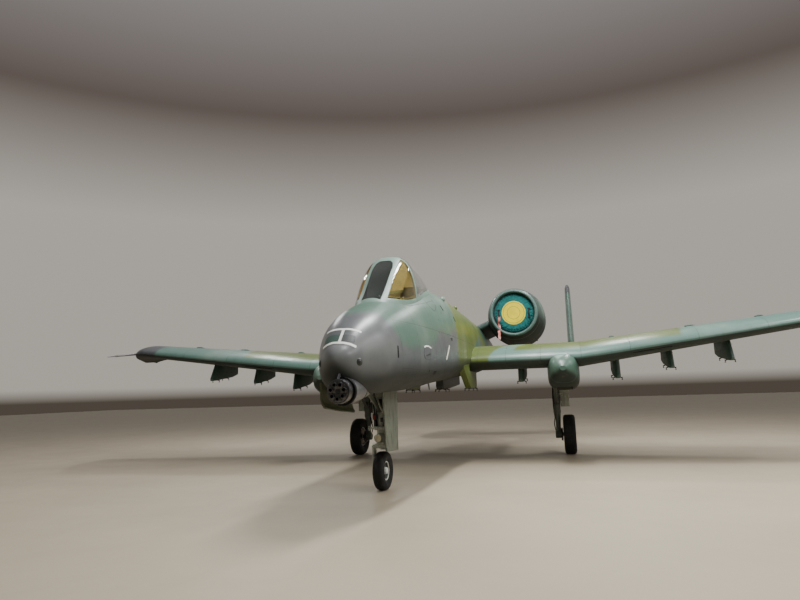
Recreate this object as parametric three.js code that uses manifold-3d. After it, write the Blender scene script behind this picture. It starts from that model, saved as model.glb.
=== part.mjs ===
// Twin-engine ground-attack jet aircraft, parked on its wheels.
// Millimetres, +Z up. Inside the airframe group, y is the station measured aft from the gun muzzle,
// +X is the port side, and z = 0 is the ground under the tyres.
import * as THREE from 'three';
import { mergeVertices } from 'three/addons/utils/BufferGeometryUtils.js';
import Module from 'manifold-3d';

const wasm = await Module();
wasm.setup();

// Driving dimensions
const LENGTH = 16260;
const GAP = 0.3;
const CLEAR = 8;
const BIG = 4000;

// Fuselage sections: station, half width, height of the widest line, top, bottom, roundness exponents
const FUSELAGE_COLUMNS = ['y', 'half', 'mid', 'top', 'bottom', 'nTop', 'nBottom'];
const FUSELAGE = [
  [130, 40, 1965, 2000, 1925, 2.0, 2.0],
  [250, 196, 1940, 2144, 1698, 2.1, 2.2],
  [500, 340, 1940, 2389, 1539, 2.2, 2.3],
  [850, 487, 1970, 2601, 1520, 2.2, 2.4],
  [1300, 568, 2000, 2776, 1539, 2.2, 2.4],
  [1800, 625, 2030, 2939, 1549, 2.2, 2.5],
  [2600, 679, 2070, 3187, 1579, 2.2, 2.6],
  [3600, 721, 2120, 3379, 1660, 2.2, 2.7],
  [4800, 743, 2200, 3480, 1722, 2.3, 2.4],
  [6000, 739, 2250, 3453, 1785, 2.4, 2.2],
  [7500, 728, 2270, 3430, 1872, 2.4, 2.1],
  [8500, 715, 2280, 3412, 1920, 2.4, 2.1],
  [9300, 700, 2310, 3395, 1965, 2.4, 2.1],
  [10050, 680, 2360, 3370, 2020, 2.3, 2.0],
  [11500, 600, 2480, 3290, 2130, 2.3, 2.2],
  [13500, 430, 2640, 3140, 2290, 2.2, 2.2],
  [15000, 270, 2710, 3000, 2450, 2.0, 2.0],
  [15800, 90, 2740, 2840, 2650, 2.0, 2.0],
];
const NOSE_BREAK = 5600;
const TAIL_BREAK = 10000;
const BODY_SIDES = 24;

// Windscreen and canopy bubble sections over the cockpit
const BUBBLE_COLUMNS = ['y', 'half', 'mid', 'top', 'n'];
const BUBBLE = [
  [1400, 194, 2640, 2752, 2.0],
  [1570, 258, 2670, 2893, 2.1],
  [1750, 324, 2700, 3046, 2.2],
  [2200, 420, 2800, 3484, 2.5],
  [2500, 446, 2850, 3704, 2.7],
  [2800, 442, 2900, 3766, 2.4],
  [3400, 410, 2980, 3752, 2.1],
  [4100, 345, 3080, 3660, 2.1],
  [4700, 248, 3200, 3525, 2.1],
  [5150, 90, 3330, 3430, 2.0],
];
const GLASS_THICK = 12;
const FRAME_THICK = 30;
const BOW = 2552;
const BOW_BAND = 46;
const BOW_GAP = 4;
const CANOPY_HINGE = { y: 5060, z: 3490 };
const COCKPIT = { front: 1960, back: 4560, half: 350, floor: 2260, sill: 2880 };
const REAR_WELL = { front: 3800, half: 300, top: 3250 };

// Wing: centre panel of constant chord, then an outer panel with dihedral and taper
const WING = {
  le: 5990, z: 2150, rootChord: 3040, kinkX: 2950, tipX: 7700, tipChord: 2121,
  tipLe: 6228, dihedral: Math.tan(THREE.MathUtils.degToRad(7)), rootThick: 0.172, tipThick: 0.145,
  hinge: 0.67,
};

// Main gear pods: station, half width, widest height, top, bottom
const POD_X = 2590;
const POD_COLUMNS = ['y', 'half', 'mid', 'top', 'bottom', 'n'];
const POD = [
  [5700, 60, 1930, 1975, 1880, 2.2],
  [5810, 200, 1920, 2110, 1730, 2.6],
  [6100, 290, 1900, 2250, 1600, 3.2],
  [6600, 326, 1890, 2310, 1520, 3.8],
  [7800, 330, 1890, 2310, 1490, 3.8],
  [8700, 285, 1920, 2240, 1590, 3.0],
  [9400, 155, 1970, 2120, 1800, 2.4],
  [9720, 40, 2010, 2050, 1970, 2.0],
];

// Engine nacelles: station, centre height, outer and inner radius; the row order runs lip to nozzle
const ENGINE_X = 1445;
const NACELLE_COLUMNS = ['y', 'z', 'outer', 'inner'];
const NACELLE = [
  [8810, 3490, 575, 555],
  [8855, 3490, 610, 526],
  [9030, 3480, 660, 512],
  [9300, 3466, 712, 560],
  [9750, 3452, 752, 572],
  [10550, 3462, 750, 560],
  [11400, 3526, 672, 535],
  [12200, 3615, 532, 505],
];
const NACELLE_SIDES = 24;

// Wheels: rolling radius, half width
const MAIN_WHEEL = { x: 2625, y: 8372, radius: 457, half: 140, rim: 232, bore: 48 };
const NOSE_WHEEL = { x: -316, y: 2972, radius: 305, half: 98, rim: 150, bore: 33 };

// Tail
const TAILPLANE = { le: 13560, te: 15420, z: 2780, half: 2790, thick: 0.12, hinge: 0.70 };
const FIN_X = 2870;
const FIN_COLUMNS = ['z', 'le', 'te', 'half'];
const FIN = [
  [2430, 14280, 15600, 64],
  [2530, 14060, 16260, 92],
  [2780, 13990, 16260, 108],
  [4700, 14440, 15990, 90],
  [5000, 14600, 15900, 82],
  [5120, 14900, 15700, 46],
];
const RUDDER = { low: 2600, high: 4780, hinge: 0.70 };

// Colours
const PAINT = {
  charcoal: 0x4f5355, sage: 0x5f7a70, teal: 0x44605a, olive: 0x6f7d4a, gear: 0x9aa596, dark: 0x2b2e2e,
  tyre: 0x171717, rim: 0xc9ccc6, cover: 0x0f6b5c, seat: 0x3a3d33,
};

const material = (color, roughness = 0.6, metalness = 0.1) =>
  new THREE.MeshStandardMaterial({ color, roughness, metalness });
const glassMaterial = (color) =>
  new THREE.MeshStandardMaterial({ color, roughness: 0.05, metalness: 0, transparent: true, opacity: 0.35 });

// Reads a table's rows as objects with named columns
const rows = (columns, table) =>
  table.map((row) => Object.fromEntries(columns.map((name, i) => [name, row[i]])));

// Monotone cubic through a column of a table, so that sections stay fair between its rows
function fair(table, key, name, at) {
  const xs = table.map((row) => row[key]);
  const ys = table.map((row) => row[name]);
  const last = xs.length - 1;
  const step = xs.slice(1).map((x, i) => x - xs[i]);
  const slope = step.map((h, i) => (ys[i + 1] - ys[i]) / h);
  const tangent = (i) => {
    if (i === 0 || i === last) {
      const [a, b] = i === 0 ? [0, 1] : [last - 1, last - 2];
      const edge = ((2 * step[a] + step[b]) * slope[a] - step[a] * slope[b]) / (step[a] + step[b]);
      if (edge * slope[a] <= 0) return 0;
      return slope[a] * slope[b] <= 0 && Math.abs(edge) > 3 * Math.abs(slope[a]) ? 3 * slope[a] : edge;
    }
    if (slope[i - 1] * slope[i] <= 0) return 0;
    const first = 2 * step[i] + step[i - 1];
    const second = step[i] + 2 * step[i - 1];
    return (first + second) / (first / slope[i - 1] + second / slope[i]);
  };
  let i = xs.findIndex((x) => at < x) - 1;
  if (i < 0) i = at < xs[0] ? 0 : last - 1;
  const h = step[i];
  const t = THREE.MathUtils.clamp((at - xs[i]) / h, 0, 1);
  return (1 + 2 * t) * (1 - t) ** 2 * ys[i] + t * (1 - t) ** 2 * h * tangent(i)
    + t * t * (3 - 2 * t) * ys[i + 1] + t * t * (t - 1) * h * tangent(i + 1);
}

// Six times the volume that the triangles enclose, negative when they face inwards
function signedVolume(points, faces) {
  const corner = new THREE.Vector3();
  const [a, b, c] = [new THREE.Vector3(), new THREE.Vector3(), new THREE.Vector3()];
  let volume = 0;
  for (let f = 0; f < faces.length; f += 3) {
    [a, b, c].forEach((v, k) => v.fromArray(points, 3 * faces[f + k]));
    volume += a.dot(corner.crossVectors(b, c));
  }
  return volume;
}

// One closed solid from a geometry, with its faces pointing out
function solid(geometry) {
  const bare = new THREE.BufferGeometry();
  bare.setAttribute('position', geometry.getAttribute('position').clone());
  if (geometry.index) bare.setIndex(geometry.index.clone());
  const merged = mergeVertices(bare, 1e-3);
  const vertProperties = new Float32Array(merged.getAttribute('position').array);
  const triVerts = new Uint32Array(merged.index.array);
  if (signedVolume(vertProperties, triVerts) < 0) triVerts.reverse();
  return new wasm.Manifold(new wasm.Mesh({ numProp: 3, vertProperties, triVerts }));
}

function geometryOf(body) {
  const data = body.getMesh();
  const geometry = new THREE.BufferGeometry();
  geometry.setAttribute('position', new THREE.BufferAttribute(new Float32Array(data.vertProperties), 3));
  geometry.setIndex(new THREE.BufferAttribute(new Uint32Array(data.triVerts), 1));
  geometry.computeVertexNormals();
  return geometry;
}

const largest = (body) =>
  body.decompose().reduce((best, piece) => (piece.volume() > best.volume() ? piece : best));
const union = (...bodies) => bodies.reduce((all, next) => all.add(next));
const mirrorX = (body) => body.mirror([1, 0, 0]);

// A body with a thin margin around it, for cutting its neighbours clear
const MARGIN = 0.4;
const margin = (body) => [0, 1, 2].reduce((all, axis) => {
  const shift = [0, 1, 2].map((k) => (k === axis ? MARGIN : 0));
  return union(all, body.translate(shift), body.translate(shift.map((v) => -v)));
}, body);

const span = (a, b) => Math.hypot(a[0] - b[0], a[1] - b[1], a[2] - b[2]);

// Body through matching rings of [x, y, z] points, each quad cut along its shorter diagonal;
// a closed loop of rings makes a duct
function loft(rings, loop = false) {
  const count = rings[0].length;
  const points = rings.flat();
  const index = [];
  const spans = loop ? rings.length : rings.length - 1;
  for (let r = 0; r < spans; r += 1) {
    const a = r * count;
    const b = ((r + 1) % rings.length) * count;
    for (let i = 0; i < count; i += 1) {
      const j = (i + 1) % count;
      const straight = span(points[a + i], points[b + j]) < span(points[a + j], points[b + i]) + 1e-6;
      if (straight) index.push(a + i, a + j, b + j, a + i, b + j, b + i);
      else index.push(a + i, a + j, b + i, a + j, b + j, b + i);
    }
  }
  if (!loop) {
    index.push(...cap(rings[0], 0, true));
    index.push(...cap(rings[rings.length - 1], (rings.length - 1) * count, false));
  }
  const geometry = new THREE.BufferGeometry();
  geometry.setAttribute('position', new THREE.Float32BufferAttribute(rings.flat(2), 3));
  geometry.setIndex(index);
  return solid(geometry);
}

// Triangles that close a ring, in the plane where the ring is widest
function cap(ring, offset, reversed) {
  const spread = [0, 1, 2].map((k) => {
    const values = ring.map((p) => p[k]);
    return Math.max(...values) - Math.min(...values);
  });
  const flat = spread.indexOf(Math.min(...spread));
  const [u, v] = [0, 1, 2].filter((k) => k !== flat);
  const contour = ring.map((p) => new THREE.Vector2(p[u], p[v]));
  const along = Math.sign(THREE.ShapeUtils.area(contour));
  const faces = THREE.ShapeUtils.triangulateShape(contour, []);
  return faces.flatMap(([a, b, c]) => {
    const turn = Math.sign(THREE.ShapeUtils.area([contour[a], contour[b], contour[c]]));
    const forward = (turn === along) !== reversed;
    return forward ? [a + offset, b + offset, c + offset] : [a + offset, c + offset, b + offset];
  });
}

// Ring at one station with separate roundness above and below its widest line
function ovalRing(sides, { x = 0, y, half, mid, top, bottom, nTop, nBottom }) {
  return Array.from({ length: sides }, (_, i) => {
    const angle = (2 * Math.PI * i) / sides;
    const [c, s] = [Math.cos(angle), Math.sin(angle)];
    const n = s >= 0 ? nTop : nBottom;
    const rise = s >= 0 ? top - mid : mid - bottom;
    return [
      x + half * Math.sign(c) * Math.abs(c) ** (2 / n),
      y,
      mid + rise * Math.sign(s) * Math.abs(s) ** (2 / n),
    ];
  });
}

const circleRing = (sides, x, y, z, radius) =>
  ovalRing(sides, { x, y, half: radius, mid: z, top: z + radius, bottom: z - radius, nTop: 2, nBottom: 2 });

function box(x0, x1, y0, y1, z0, z1) {
  const geometry = new THREE.BoxGeometry(x1 - x0, y1 - y0, z1 - z0);
  geometry.translate((x0 + x1) / 2, (y0 + y1) / 2, (z0 + z1) / 2);
  return solid(geometry);
}

// Round bar between two points
function bar(from, to, radius, sides = 12, endRadius = radius) {
  const a = new THREE.Vector3(...from);
  const b = new THREE.Vector3(...to);
  const geometry = new THREE.CylinderGeometry(endRadius, radius, a.distanceTo(b), sides);
  const turn = new THREE.Quaternion().setFromUnitVectors(
    new THREE.Vector3(0, 1, 0), b.clone().sub(a).normalize());
  geometry.applyQuaternion(turn);
  geometry.translate(...a.add(b).multiplyScalar(0.5).toArray());
  return solid(geometry);
}

// Hinge pins at both ends of a line: each starts inside its own piece and reaches past the end
const PIN = { radius: 20, bore: 20.95, sides: 12, root: 15, reach: 45, end: 1 };
function endPins(a, b, { first = PIN.reach, second = PIN.reach, root = PIN.root, bore = false } = {}) {
  const from = new THREE.Vector3(...a);
  const to = new THREE.Vector3(...b);
  const along = to.clone().sub(from).normalize();
  const stub = (end, sign, reach) => bar(
    end.clone().addScaledVector(along, -sign * root).toArray(),
    end.clone().addScaledVector(along, sign * (reach + (bore ? PIN.end : 0))).toArray(),
    bore ? PIN.bore : PIN.radius, PIN.sides);
  return stub(from, -1, first).add(stub(to, 1, second));
}

// Flat plate from an outline of [y, z] points, between two x values
function sidePlate(outline, x0, x1) {
  return loft([x0, x1].map((x) => outline.map(([y, z]) => [x, y, z])));
}

// Fuselage
const fuselageRows = rows(FUSELAGE_COLUMNS, FUSELAGE);
function fuselageRing(y, grow = 0) {
  const value = (name) => fair(fuselageRows, 'y', name, y);
  return ovalRing(BODY_SIDES, {
    y, half: value('half') + grow, mid: value('mid'), top: value('top') + grow,
    bottom: value('bottom') - grow, nTop: value('nTop'), nBottom: value('nBottom'),
  });
}
function fuselage(stations, grow = 0) {
  return loft(stations.map((y) => fuselageRing(y, grow)));
}
const NOSE_STATIONS = [130, 170, 250, 360, 500, 670, 850, 1075, 1300, 1550, 1800, 2200, 2600, 3100, 3600,
  4200, 4800, 5200, NOSE_BREAK - GAP];
const MID_STATIONS = [NOSE_BREAK, 6000, 7000, 8000, 8500, 9000, 9500, TAIL_BREAK - GAP];
const TAIL_STATIONS = [TAIL_BREAK, 10800, 11500, 12500, 13500, 14300, 15000, 15450, 15800];
const fuselageSleeve = fuselage([...NOSE_STATIONS.slice(12), ...MID_STATIONS, ...TAIL_STATIONS], GAP);

// Gun muzzle: a ring of blind barrels in a round shroud, a little to port of the middle
const GUN = {
  x: 90, z: 1575, shroud: 145, cluster: 88, count: 7, back: 600, front: 0, face: 40, lip: 190, neck: 118,
};
function gunMuzzle() {
  const at = (dx, dz, y) => [GUN.x + dx, y, GUN.z + dz];
  let body = bar(at(0, 0, GUN.face), at(0, 0, GUN.lip), GUN.shroud, 20);
  body = body.add(bar(at(0, 0, GUN.lip - 10), at(0, 0, GUN.back), GUN.neck, 16));
  body = body.add(bar(at(0, 0, GUN.front + 20), at(0, 0, 100), 36, 8));
  for (let i = 0; i < GUN.count; i += 1) {
    const angle = (2 * Math.PI * i) / GUN.count;
    const [dx, dz] = [GUN.cluster * Math.cos(angle), GUN.cluster * Math.sin(angle)];
    body = body.add(bar(at(dx, dz, GUN.front), at(dx, dz, 100), 38, 8));
    body = body.subtract(bar(at(dx, dz, GUN.front - 10), at(dx, dz, 90), 20, 6));
  }
  return body;
}
const gunSleeve = bar([GUN.x, -50, GUN.z], [GUN.x, GUN.lip + 8, GUN.z], GUN.shroud + 10, 20).add(
  bar([GUN.x, GUN.lip, GUN.z], [GUN.x, GUN.back + GAP, GUN.z], GUN.neck + 2, 20));
// Fairing around the gun, tapering back into the nose
const gunFairing = bar([GUN.x, 205, GUN.z], [GUN.x, 1250, GUN.z + 90], 158, 20, 90);

// Nose gear bay, open below, a little to starboard
const BAY = { x0: -470, x1: -150, y0: 900, y1: 3250, top: 2020 };
const noseBay = box(BAY.x0, BAY.x1, BAY.y0, BAY.y1, 1200, BAY.top);

const bubbleRows = rows(BUBBLE_COLUMNS, BUBBLE);
function bubble(stations, inset = 0) {
  return loft(stations.map((y) => {
    const value = (name) => fair(bubbleRows, 'y', name, y);
    const n = value('n');
    return ovalRing(24, {
      y, half: value('half') - inset, mid: value('mid'), top: value('top') - inset,
      bottom: value('mid') - 320, nTop: n, nBottom: 3,
    });
  }));
}
const BUBBLE_STATIONS = [1400, 1570, 1750, 1960, 2200, 2480, 2800, 3100, 3400, 3750, 4100, 4400, 4700, 4950,
  5150];
const cockpit = sidePlate([
  [COCKPIT.front, COCKPIT.floor + 260], [COCKPIT.front + 260, COCKPIT.floor], [COCKPIT.back, COCKPIT.floor],
  [COCKPIT.back + 60, BIG], [COCKPIT.front, BIG],
], -COCKPIT.half, COCKPIT.half);
const opening = cockpit.intersect(union(
  bubble(BUBBLE_STATIONS, 46),
  box(-COCKPIT.half, COCKPIT.half, COCKPIT.front, COCKPIT.back, COCKPIT.floor, COCKPIT.sill),
  box(-REAR_WELL.half, REAR_WELL.half, REAR_WELL.front, COCKPIT.back, COCKPIT.floor, REAR_WELL.top)));

const forwardSolid = fuselage(NOSE_STATIONS).add(gunFairing);
const forwardFuselage = largest(forwardSolid.subtract(gunSleeve).subtract(noseBay).subtract(opening));

// Canopy parts: a thin shell over the fuselage, split at the bow, with panes cut out of the frames
const bubbleSkin = bubble(BUBBLE_STATIONS).subtract(fuselage(NOSE_STATIONS.concat([5900]), GAP));
const frameShell = bubbleSkin.subtract(bubble(BUBBLE_STATIONS, FRAME_THICK));
const glassShell = bubbleSkin.subtract(bubble(BUBBLE_STATIONS, GLASS_THICK));
// The bow and the canopy's front edge follow one arc about the canopy's hinge line
const bowDrum = (reach) => bar(
  [-900, CANOPY_HINGE.y, CANOPY_HINGE.z], [900, CANOPY_HINGE.y, CANOPY_HINGE.z],
  CANOPY_HINGE.y - BOW + reach, 96);
const windscreenZone = box(-900, 900, 1300, 3000, 2300, BIG).subtract(bowDrum(BOW_GAP));
const canopyZone = box(-900, 900, 2300, CANOPY_HINGE.y - 12, 2300, BIG).intersect(bowDrum(-BOW_GAP));
// Everything that stands at least a sill's height off the fuselage skin, for the panes' lower edges
const SILL = 45;
const BASE = 20;
const aboveSkin = (body, height) => body.subtract(fuselage([...NOSE_STATIONS, 5900], height));
const frontPane = (grow) => aboveSkin(loft([
  [1590 - grow, 146], [2230, 162], [2320, 140], [2365 + grow, 90],
].map(([y, half]) => [
  [-half - grow, y, 2600], [half + grow, y, 2600], [half + grow, y, BIG], [-half - grow, y, BIG],
])), BASE - grow);
const POST = 222;
const sidePane = (grow) => aboveSkin(box(-900, 900, 1640 - grow, 3000, 2700, 3640 + grow), SILL - grow)
  .subtract(box(-POST + grow, POST - grow, 1300, 3000, 2300, BIG)).subtract(bowDrum(BOW_BAND - grow));
const canopyPane = (grow) => aboveSkin(
  box(-900, 900, 2300, 4880 + grow, 2300, BIG), SILL - grow).intersect(bowDrum(grow - BOW_BAND));
const windscreenFrame = largest(
  frameShell.intersect(windscreenZone).subtract(frontPane(0)).subtract(sidePane(0)));
const canopyFrame = largest(frameShell.intersect(canopyZone).subtract(canopyPane(0)));
const frontGlass = largest(glassShell.intersect(windscreenZone).intersect(frontPane(-GAP)));
const sideGlass = glassShell.intersect(windscreenZone).intersect(sidePane(-GAP));
const canopyGlass = largest(glassShell.intersect(canopyZone).intersect(canopyPane(-GAP)));

// Cockpit fittings
function ejectionSeat() {
  const shell = sidePlate([
    [3350, 2300], [3350, 2560], [3880, 2520], [4040, 3180], [4180, 3180], [4160, 2300],
  ], -225, 225);
  const headBox = sidePlate([[4000, 3120], [4010, 3470], [4150, 3490], [4180, 3120]], -140, 140);
  const legs = box(-200, 200, 3450, 4150, COCKPIT.floor + GAP, 2310);
  const cushion = box(-200, 200, 3330, 3900, 2530, 2640);
  const back = sidePlate([[3790, 2620], [3910, 2600], [4060, 3150], [3930, 3150]], -190, 190);
  return union(shell, headBox, legs, cushion, back);
}
function instrumentPanel() {
  const coaming = sidePlate([[1985, 2800], [2150, 2895], [2520, 2900], [2500, 2860], [2180, 2700]], -300, 300);
  const panel = sidePlate([[2350, 2870], [2500, 2870], [2500, 2420], [2350, 2420]], -280, 280);
  const post = box(-90, 90, 2360, 2440, COCKPIT.floor + GAP, 2430);
  const sight = sidePlate([[2230, 2890], [2330, 2890], [2330, 3080], [2290, 3080]], -80, 80);
  return union(coaming, panel, post, sight);
}

// Wing section at a span position; an extended one runs on straight past both ends of the outer panel
function sectionAt(x, extended = false) {
  const along = (x - WING.kinkX) / (WING.tipX - WING.kinkX);
  const t = extended ? along : THREE.MathUtils.clamp(along, 0, 1);
  const outboard = extended ? x - WING.kinkX : Math.max(0, x - WING.kinkX);
  return {
    x,
    le: THREE.MathUtils.lerp(WING.le, WING.tipLe, t),
    z: WING.z + outboard * WING.dihedral,
    chord: THREE.MathUtils.lerp(WING.rootChord, WING.tipChord, t),
    thick: THREE.MathUtils.lerp(WING.rootThick, WING.tipThick, t),
  };
}
const CAMBER = 0.05;
const CAMBER_AT = 0.7;
function camber(u) {
  const p = CAMBER_AT;
  return u < p ? (CAMBER / p ** 2) * (2 * p * u - u * u)
    : (CAMBER / (1 - p) ** 2) * (1 - 2 * p + 2 * p * u - u * u);
}
const halfThick = (u, thick) => 5 * thick
  * (0.2969 * Math.sqrt(u) - 0.126 * u - 0.3516 * u * u + 0.2843 * u ** 3 - 0.1015 * u ** 4) + 0.0015;
const CHORD_STEPS = [0, 0.012, 0.05, 0.12, 0.22, 0.34, 0.48, 0.62, 0.76, 0.88, 1];

// Ring around a wing section: over the top from the trailing edge, then back under it
function airfoilRing({ x, le, z, chord, thick }, from = 0) {
  const steps = CHORD_STEPS.filter((u) => u > from);
  const point = (u, side) => [
    x, le + u * chord, z + chord * (camber(u) + side * halfThick(u, thick)),
  ];
  const upper = steps.slice().reverse().map((u) => point(u, 1));
  const lower = steps.map((u) => point(u, -1));
  return from > 0 ? [upper, lower] : [...upper, [x, le, z], ...lower];
}
function wing(stations) {
  return loft(stations.map((x) => airfoilRing(sectionAt(x))));
}

// Tip: the leading edge curves back and the last sections fall a little and narrow
const TIP = rows(['dx', 'dz', 'dLe', 'scale'], [
  [0, 0, 0, 1], [150, 0, 60, 1], [300, -4, 185, 1], [450, -10, 355, 0.99], [600, -20, 540, 0.97],
  [750, -36, 750, 0.93], [880, -60, 1000, 0.84], [1000, -95, 1290, 0.68], [1065, -130, 1500, 0.45],
]);
function wingTip() {
  const base = sectionAt(WING.tipX);
  return loft(TIP.map(({ dx, dz, dLe, scale }) => airfoilRing({
    x: base.x + dx, le: base.le + dLe, z: base.z + dz, chord: base.chord - 1.1 * dLe,
    thick: base.thick * scale,
  })));
}

// Hinge point of a wing section, with the local half thickness
function hingeOf(section) {
  const u = WING.hinge;
  return {
    x: section.x, y: section.le + u * section.chord, z: section.z + section.chord * camber(u),
    radius: section.chord * halfThick(u, section.thick),
  };
}

// Control surface between two span stations: its nose is an arc about the hinge line.
// part is 'whole', 'upper' or 'lower', for surfaces that split along the camber line.
const SPLIT = 2.5;
const LIP = 3;
function surfaceRing(section, part) {
  const h = hingeOf(section);
  const noseR = h.radius * 0.97;
  const steps = CHORD_STEPS.filter((u) => u > WING.hinge + 0.06);
  const at = (u, side, shift = 0) => [
    section.x, section.le + u * section.chord,
    section.z + section.chord * (camber(u) + side * halfThick(u, section.thick)) + shift,
  ];
  const arc = (radius, from, to, count) => Array.from({ length: count }, (_, i) => {
    const angle = from + ((to - from) * i) / (count - 1);
    return [section.x, h.y + radius * Math.cos(angle), h.z + radius * Math.sin(angle)];
  });
  const upper = steps.slice().reverse().map((u) => at(u, 1));
  const lower = steps.map((u) => at(u, -1));
  if (part === 'whole') return [...upper, ...arc(noseR, Math.PI * 0.5, Math.PI * 1.5, 7), ...lower];
  const middle = (side) => steps.map((u) => at(u, 0, side * SPLIT));
  if (part === 'upper') return [...upper, ...arc(noseR, Math.PI * 0.5, Math.PI * 2, 10), ...middle(1)];
  const outer = h.radius + LIP;
  return [...middle(-1).reverse(), ...arc(outer, -0.03, -Math.PI * 0.36, 5), ...lower];
}
const hingePoint = (x) => {
  const h = hingeOf(sectionAt(x));
  return [h.x, h.y, h.z];
};
// Directions square to the outer panel's hinge line, which slopes up and forward towards the tip
const HINGE_LINE = new THREE.Vector3(...hingePoint(WING.tipX))
  .sub(new THREE.Vector3(...hingePoint(WING.kinkX))).normalize();
const HINGE_AFT = new THREE.Vector3(0, 1, 0).addScaledVector(HINGE_LINE, -HINGE_LINE.y).normalize();
const HINGE_UP = HINGE_LINE.clone().cross(HINGE_AFT);
const aroundHinge = (x, radius, angle) => new THREE.Vector3(...hingePoint(x))
  .addScaledVector(HINGE_AFT, radius(hingeOf(sectionAt(x)).radius) * Math.cos(angle))
  .addScaledVector(HINGE_UP, radius(hingeOf(sectionAt(x)).radius) * Math.sin(angle)).toArray();
// Everything between two planes square to that hinge line
const hingeSlab = (x0, x1) => loft([x0, x1].map((x) =>
  [1, 3, 5, 7].map((eighth) => aroundHinge(x, () => BIG, eighth * Math.PI / 4))));

// Surfaces of the outer panel are drawn this much too long, then trimmed square to their hinge line
const OVERRUN = 150;
function controlSurface({ x0, x1, square }, part = 'whole') {
  if (!square) return loft([x0, x1].map((x) => surfaceRing(sectionAt(x), part)));
  const ends = [x0 - OVERRUN, x1 + OVERRUN];
  return loft(ends.map((x) => surfaceRing(sectionAt(x, true), part))).intersect(hingeSlab(x0, x1));
}
const END_GAP = 10;
function surfaceCut({ x0, x1, square }) {
  const over = square ? OVERRUN : END_GAP;
  const cut = loft([x0 - over, x1 + over].map((x) => {
    const section = sectionAt(x, square);
    const h = hingeOf(section);
    const front = h.y - h.radius - CLEAR;
    const back = section.le + section.chord + 200;
    return [[x, front, h.z - 600], [x, front, h.z + 600], [x, back, h.z + 600], [x, back, h.z - 600]];
  }));
  return square ? cut.intersect(hingeSlab(x0 - END_GAP, x1 + END_GAP)) : cut;
}

// Flaps and ailerons between two span stations; the pins' reach is short where two meet at one rib
const RIB_REACH = 24;
const INNER_FLAP = { x0: 860, x1: 2240, square: false, pins: {} };
const OUTER_FLAP = { x0: 2970, x1: 5140, square: true, pins: { second: RIB_REACH } };
const LUG = { inset: 2, width: 32, clear: 6 };
const AILERON = { x0: 5200, x1: 7640, square: true, pins: { first: RIB_REACH, root: LUG.width + 20 } };
const surfacePins = ({ x0, x1, pins }, bore = false) =>
  endPins(hingePoint(x0), hingePoint(x1), { ...pins, bore });
const flap = (surface) => controlSurface(surface).add(surfacePins(surface));

// Lugs of the split lower half of an aileron, around the aileron's pins at both ends
const LUG_SIDES = 12;
function lugRing(x) {
  const low = -Math.PI * 0.36;
  const round = Array.from({ length: LUG_SIDES }, (_, i) =>
    aroundHinge(x, (r) => r * 0.97, (i / (LUG_SIDES - 1)) * (2 * Math.PI + low)));
  const step = [1, 0.66, 0.33].map((t) => aroundHinge(x, (r) => r + 2 * LIP, low * t));
  return [...round, ...step];
}
const roomRing = (x) => Array.from({ length: LUG_SIDES + 4 }, (_, i) =>
  aroundHinge(x, (r) => r + 1.5 * LIP, (2 * Math.PI * i) / (LUG_SIDES + 4)));
const lugSpans = [
  [AILERON.x0 + LUG.inset, AILERON.x0 + LUG.inset + LUG.width],
  [AILERON.x1 - LUG.inset - LUG.width, AILERON.x1 - LUG.inset],
];
const lugs = union(...lugSpans.map((ends) => loft(ends.map(lugRing))));
const lugRoom = union(...lugSpans.map(([a, b]) => loft([a - 2 * LUG.clear, b + LUG.clear].map(roomRing))));
const aileronPins = surfacePins(AILERON);
const aileronUpper = controlSurface(AILERON, 'upper').subtract(lugRoom).add(aileronPins);
const aileronLower = controlSurface(AILERON, 'lower').add(lugs)
  .subtract(surfacePins(AILERON, true));

// Pylons hang under the wing: station and height of the front foot, setback of the root's front, back
const PYLON_HALF = 65;
const PYLONS = rows(['x', 'foot', 'footZ', 'setback', 'back'], [
  [1700, 6560, 1690, 150, 7780],
  [3677, 6650, 1700, 170, 7700],
  [4729, 6650, 1868, 230, 7640],
  [5792, 6410, 1968, 340, 7580],
]);
function wingPylon({ x, foot, footZ, setback, back }) {
  const z = sectionAt(x).z + 150;
  return sidePlate([
    [foot, footZ + 50], [foot + 50, footZ], [back - 260, footZ + 110], [back, footZ + 190], [back, z],
    [foot + setback, z],
  ], x - PYLON_HALF, x + PYLON_HALF);
}

const podRows = rows(POD_COLUMNS, POD);
const podStations = [5700, 5750, 5830, 6000, 6250, 6600, 7300, 8000, 8700, 9300, 9720];
function pod(grow = 0) {
  return loft(podStations.map((y) => {
    const value = (name) => fair(podRows, 'y', name, y);
    return ovalRing(16, {
      x: POD_X, y, half: value('half') + grow, mid: value('mid'), top: value('top') + grow,
      bottom: value('bottom') - grow, nTop: value('n'), nBottom: value('n'),
    });
  }));
}
const wheelWell = box(POD_X - 170, POD_X + 170, 6330, 7300, 1300, 1880);
const JOIN_X = 2600;
const centreWing = wing([300, JOIN_X - GAP]);
const outerWing = wing([JOIN_X, WING.kinkX, WING.tipX]).add(wingTip());
const flapCuts = [INNER_FLAP, OUTER_FLAP, AILERON].map((surface) =>
  surfaceCut(surface).add(surfacePins(surface, true)));

const innerWing = largest(centreWing.subtract(flapCuts[0]).subtract(fuselageSleeve));
const outerPanel = PYLONS.slice(1).reduce((all, row) => all.add(wingPylon(row)), outerWing);
const outerWithPylons = largest(outerPanel.subtract(flapCuts[1]).subtract(flapCuts[2]));
const wingBlank = wing([300, JOIN_X, WING.kinkX, WING.tipX]);
const wingClear = margin(wingBlank);
const gearPod = largest(pod().subtract(wingClear).subtract(wheelWell));
const innerPylon = largest(wingPylon(PYLONS[0]).subtract(wingClear));

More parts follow.
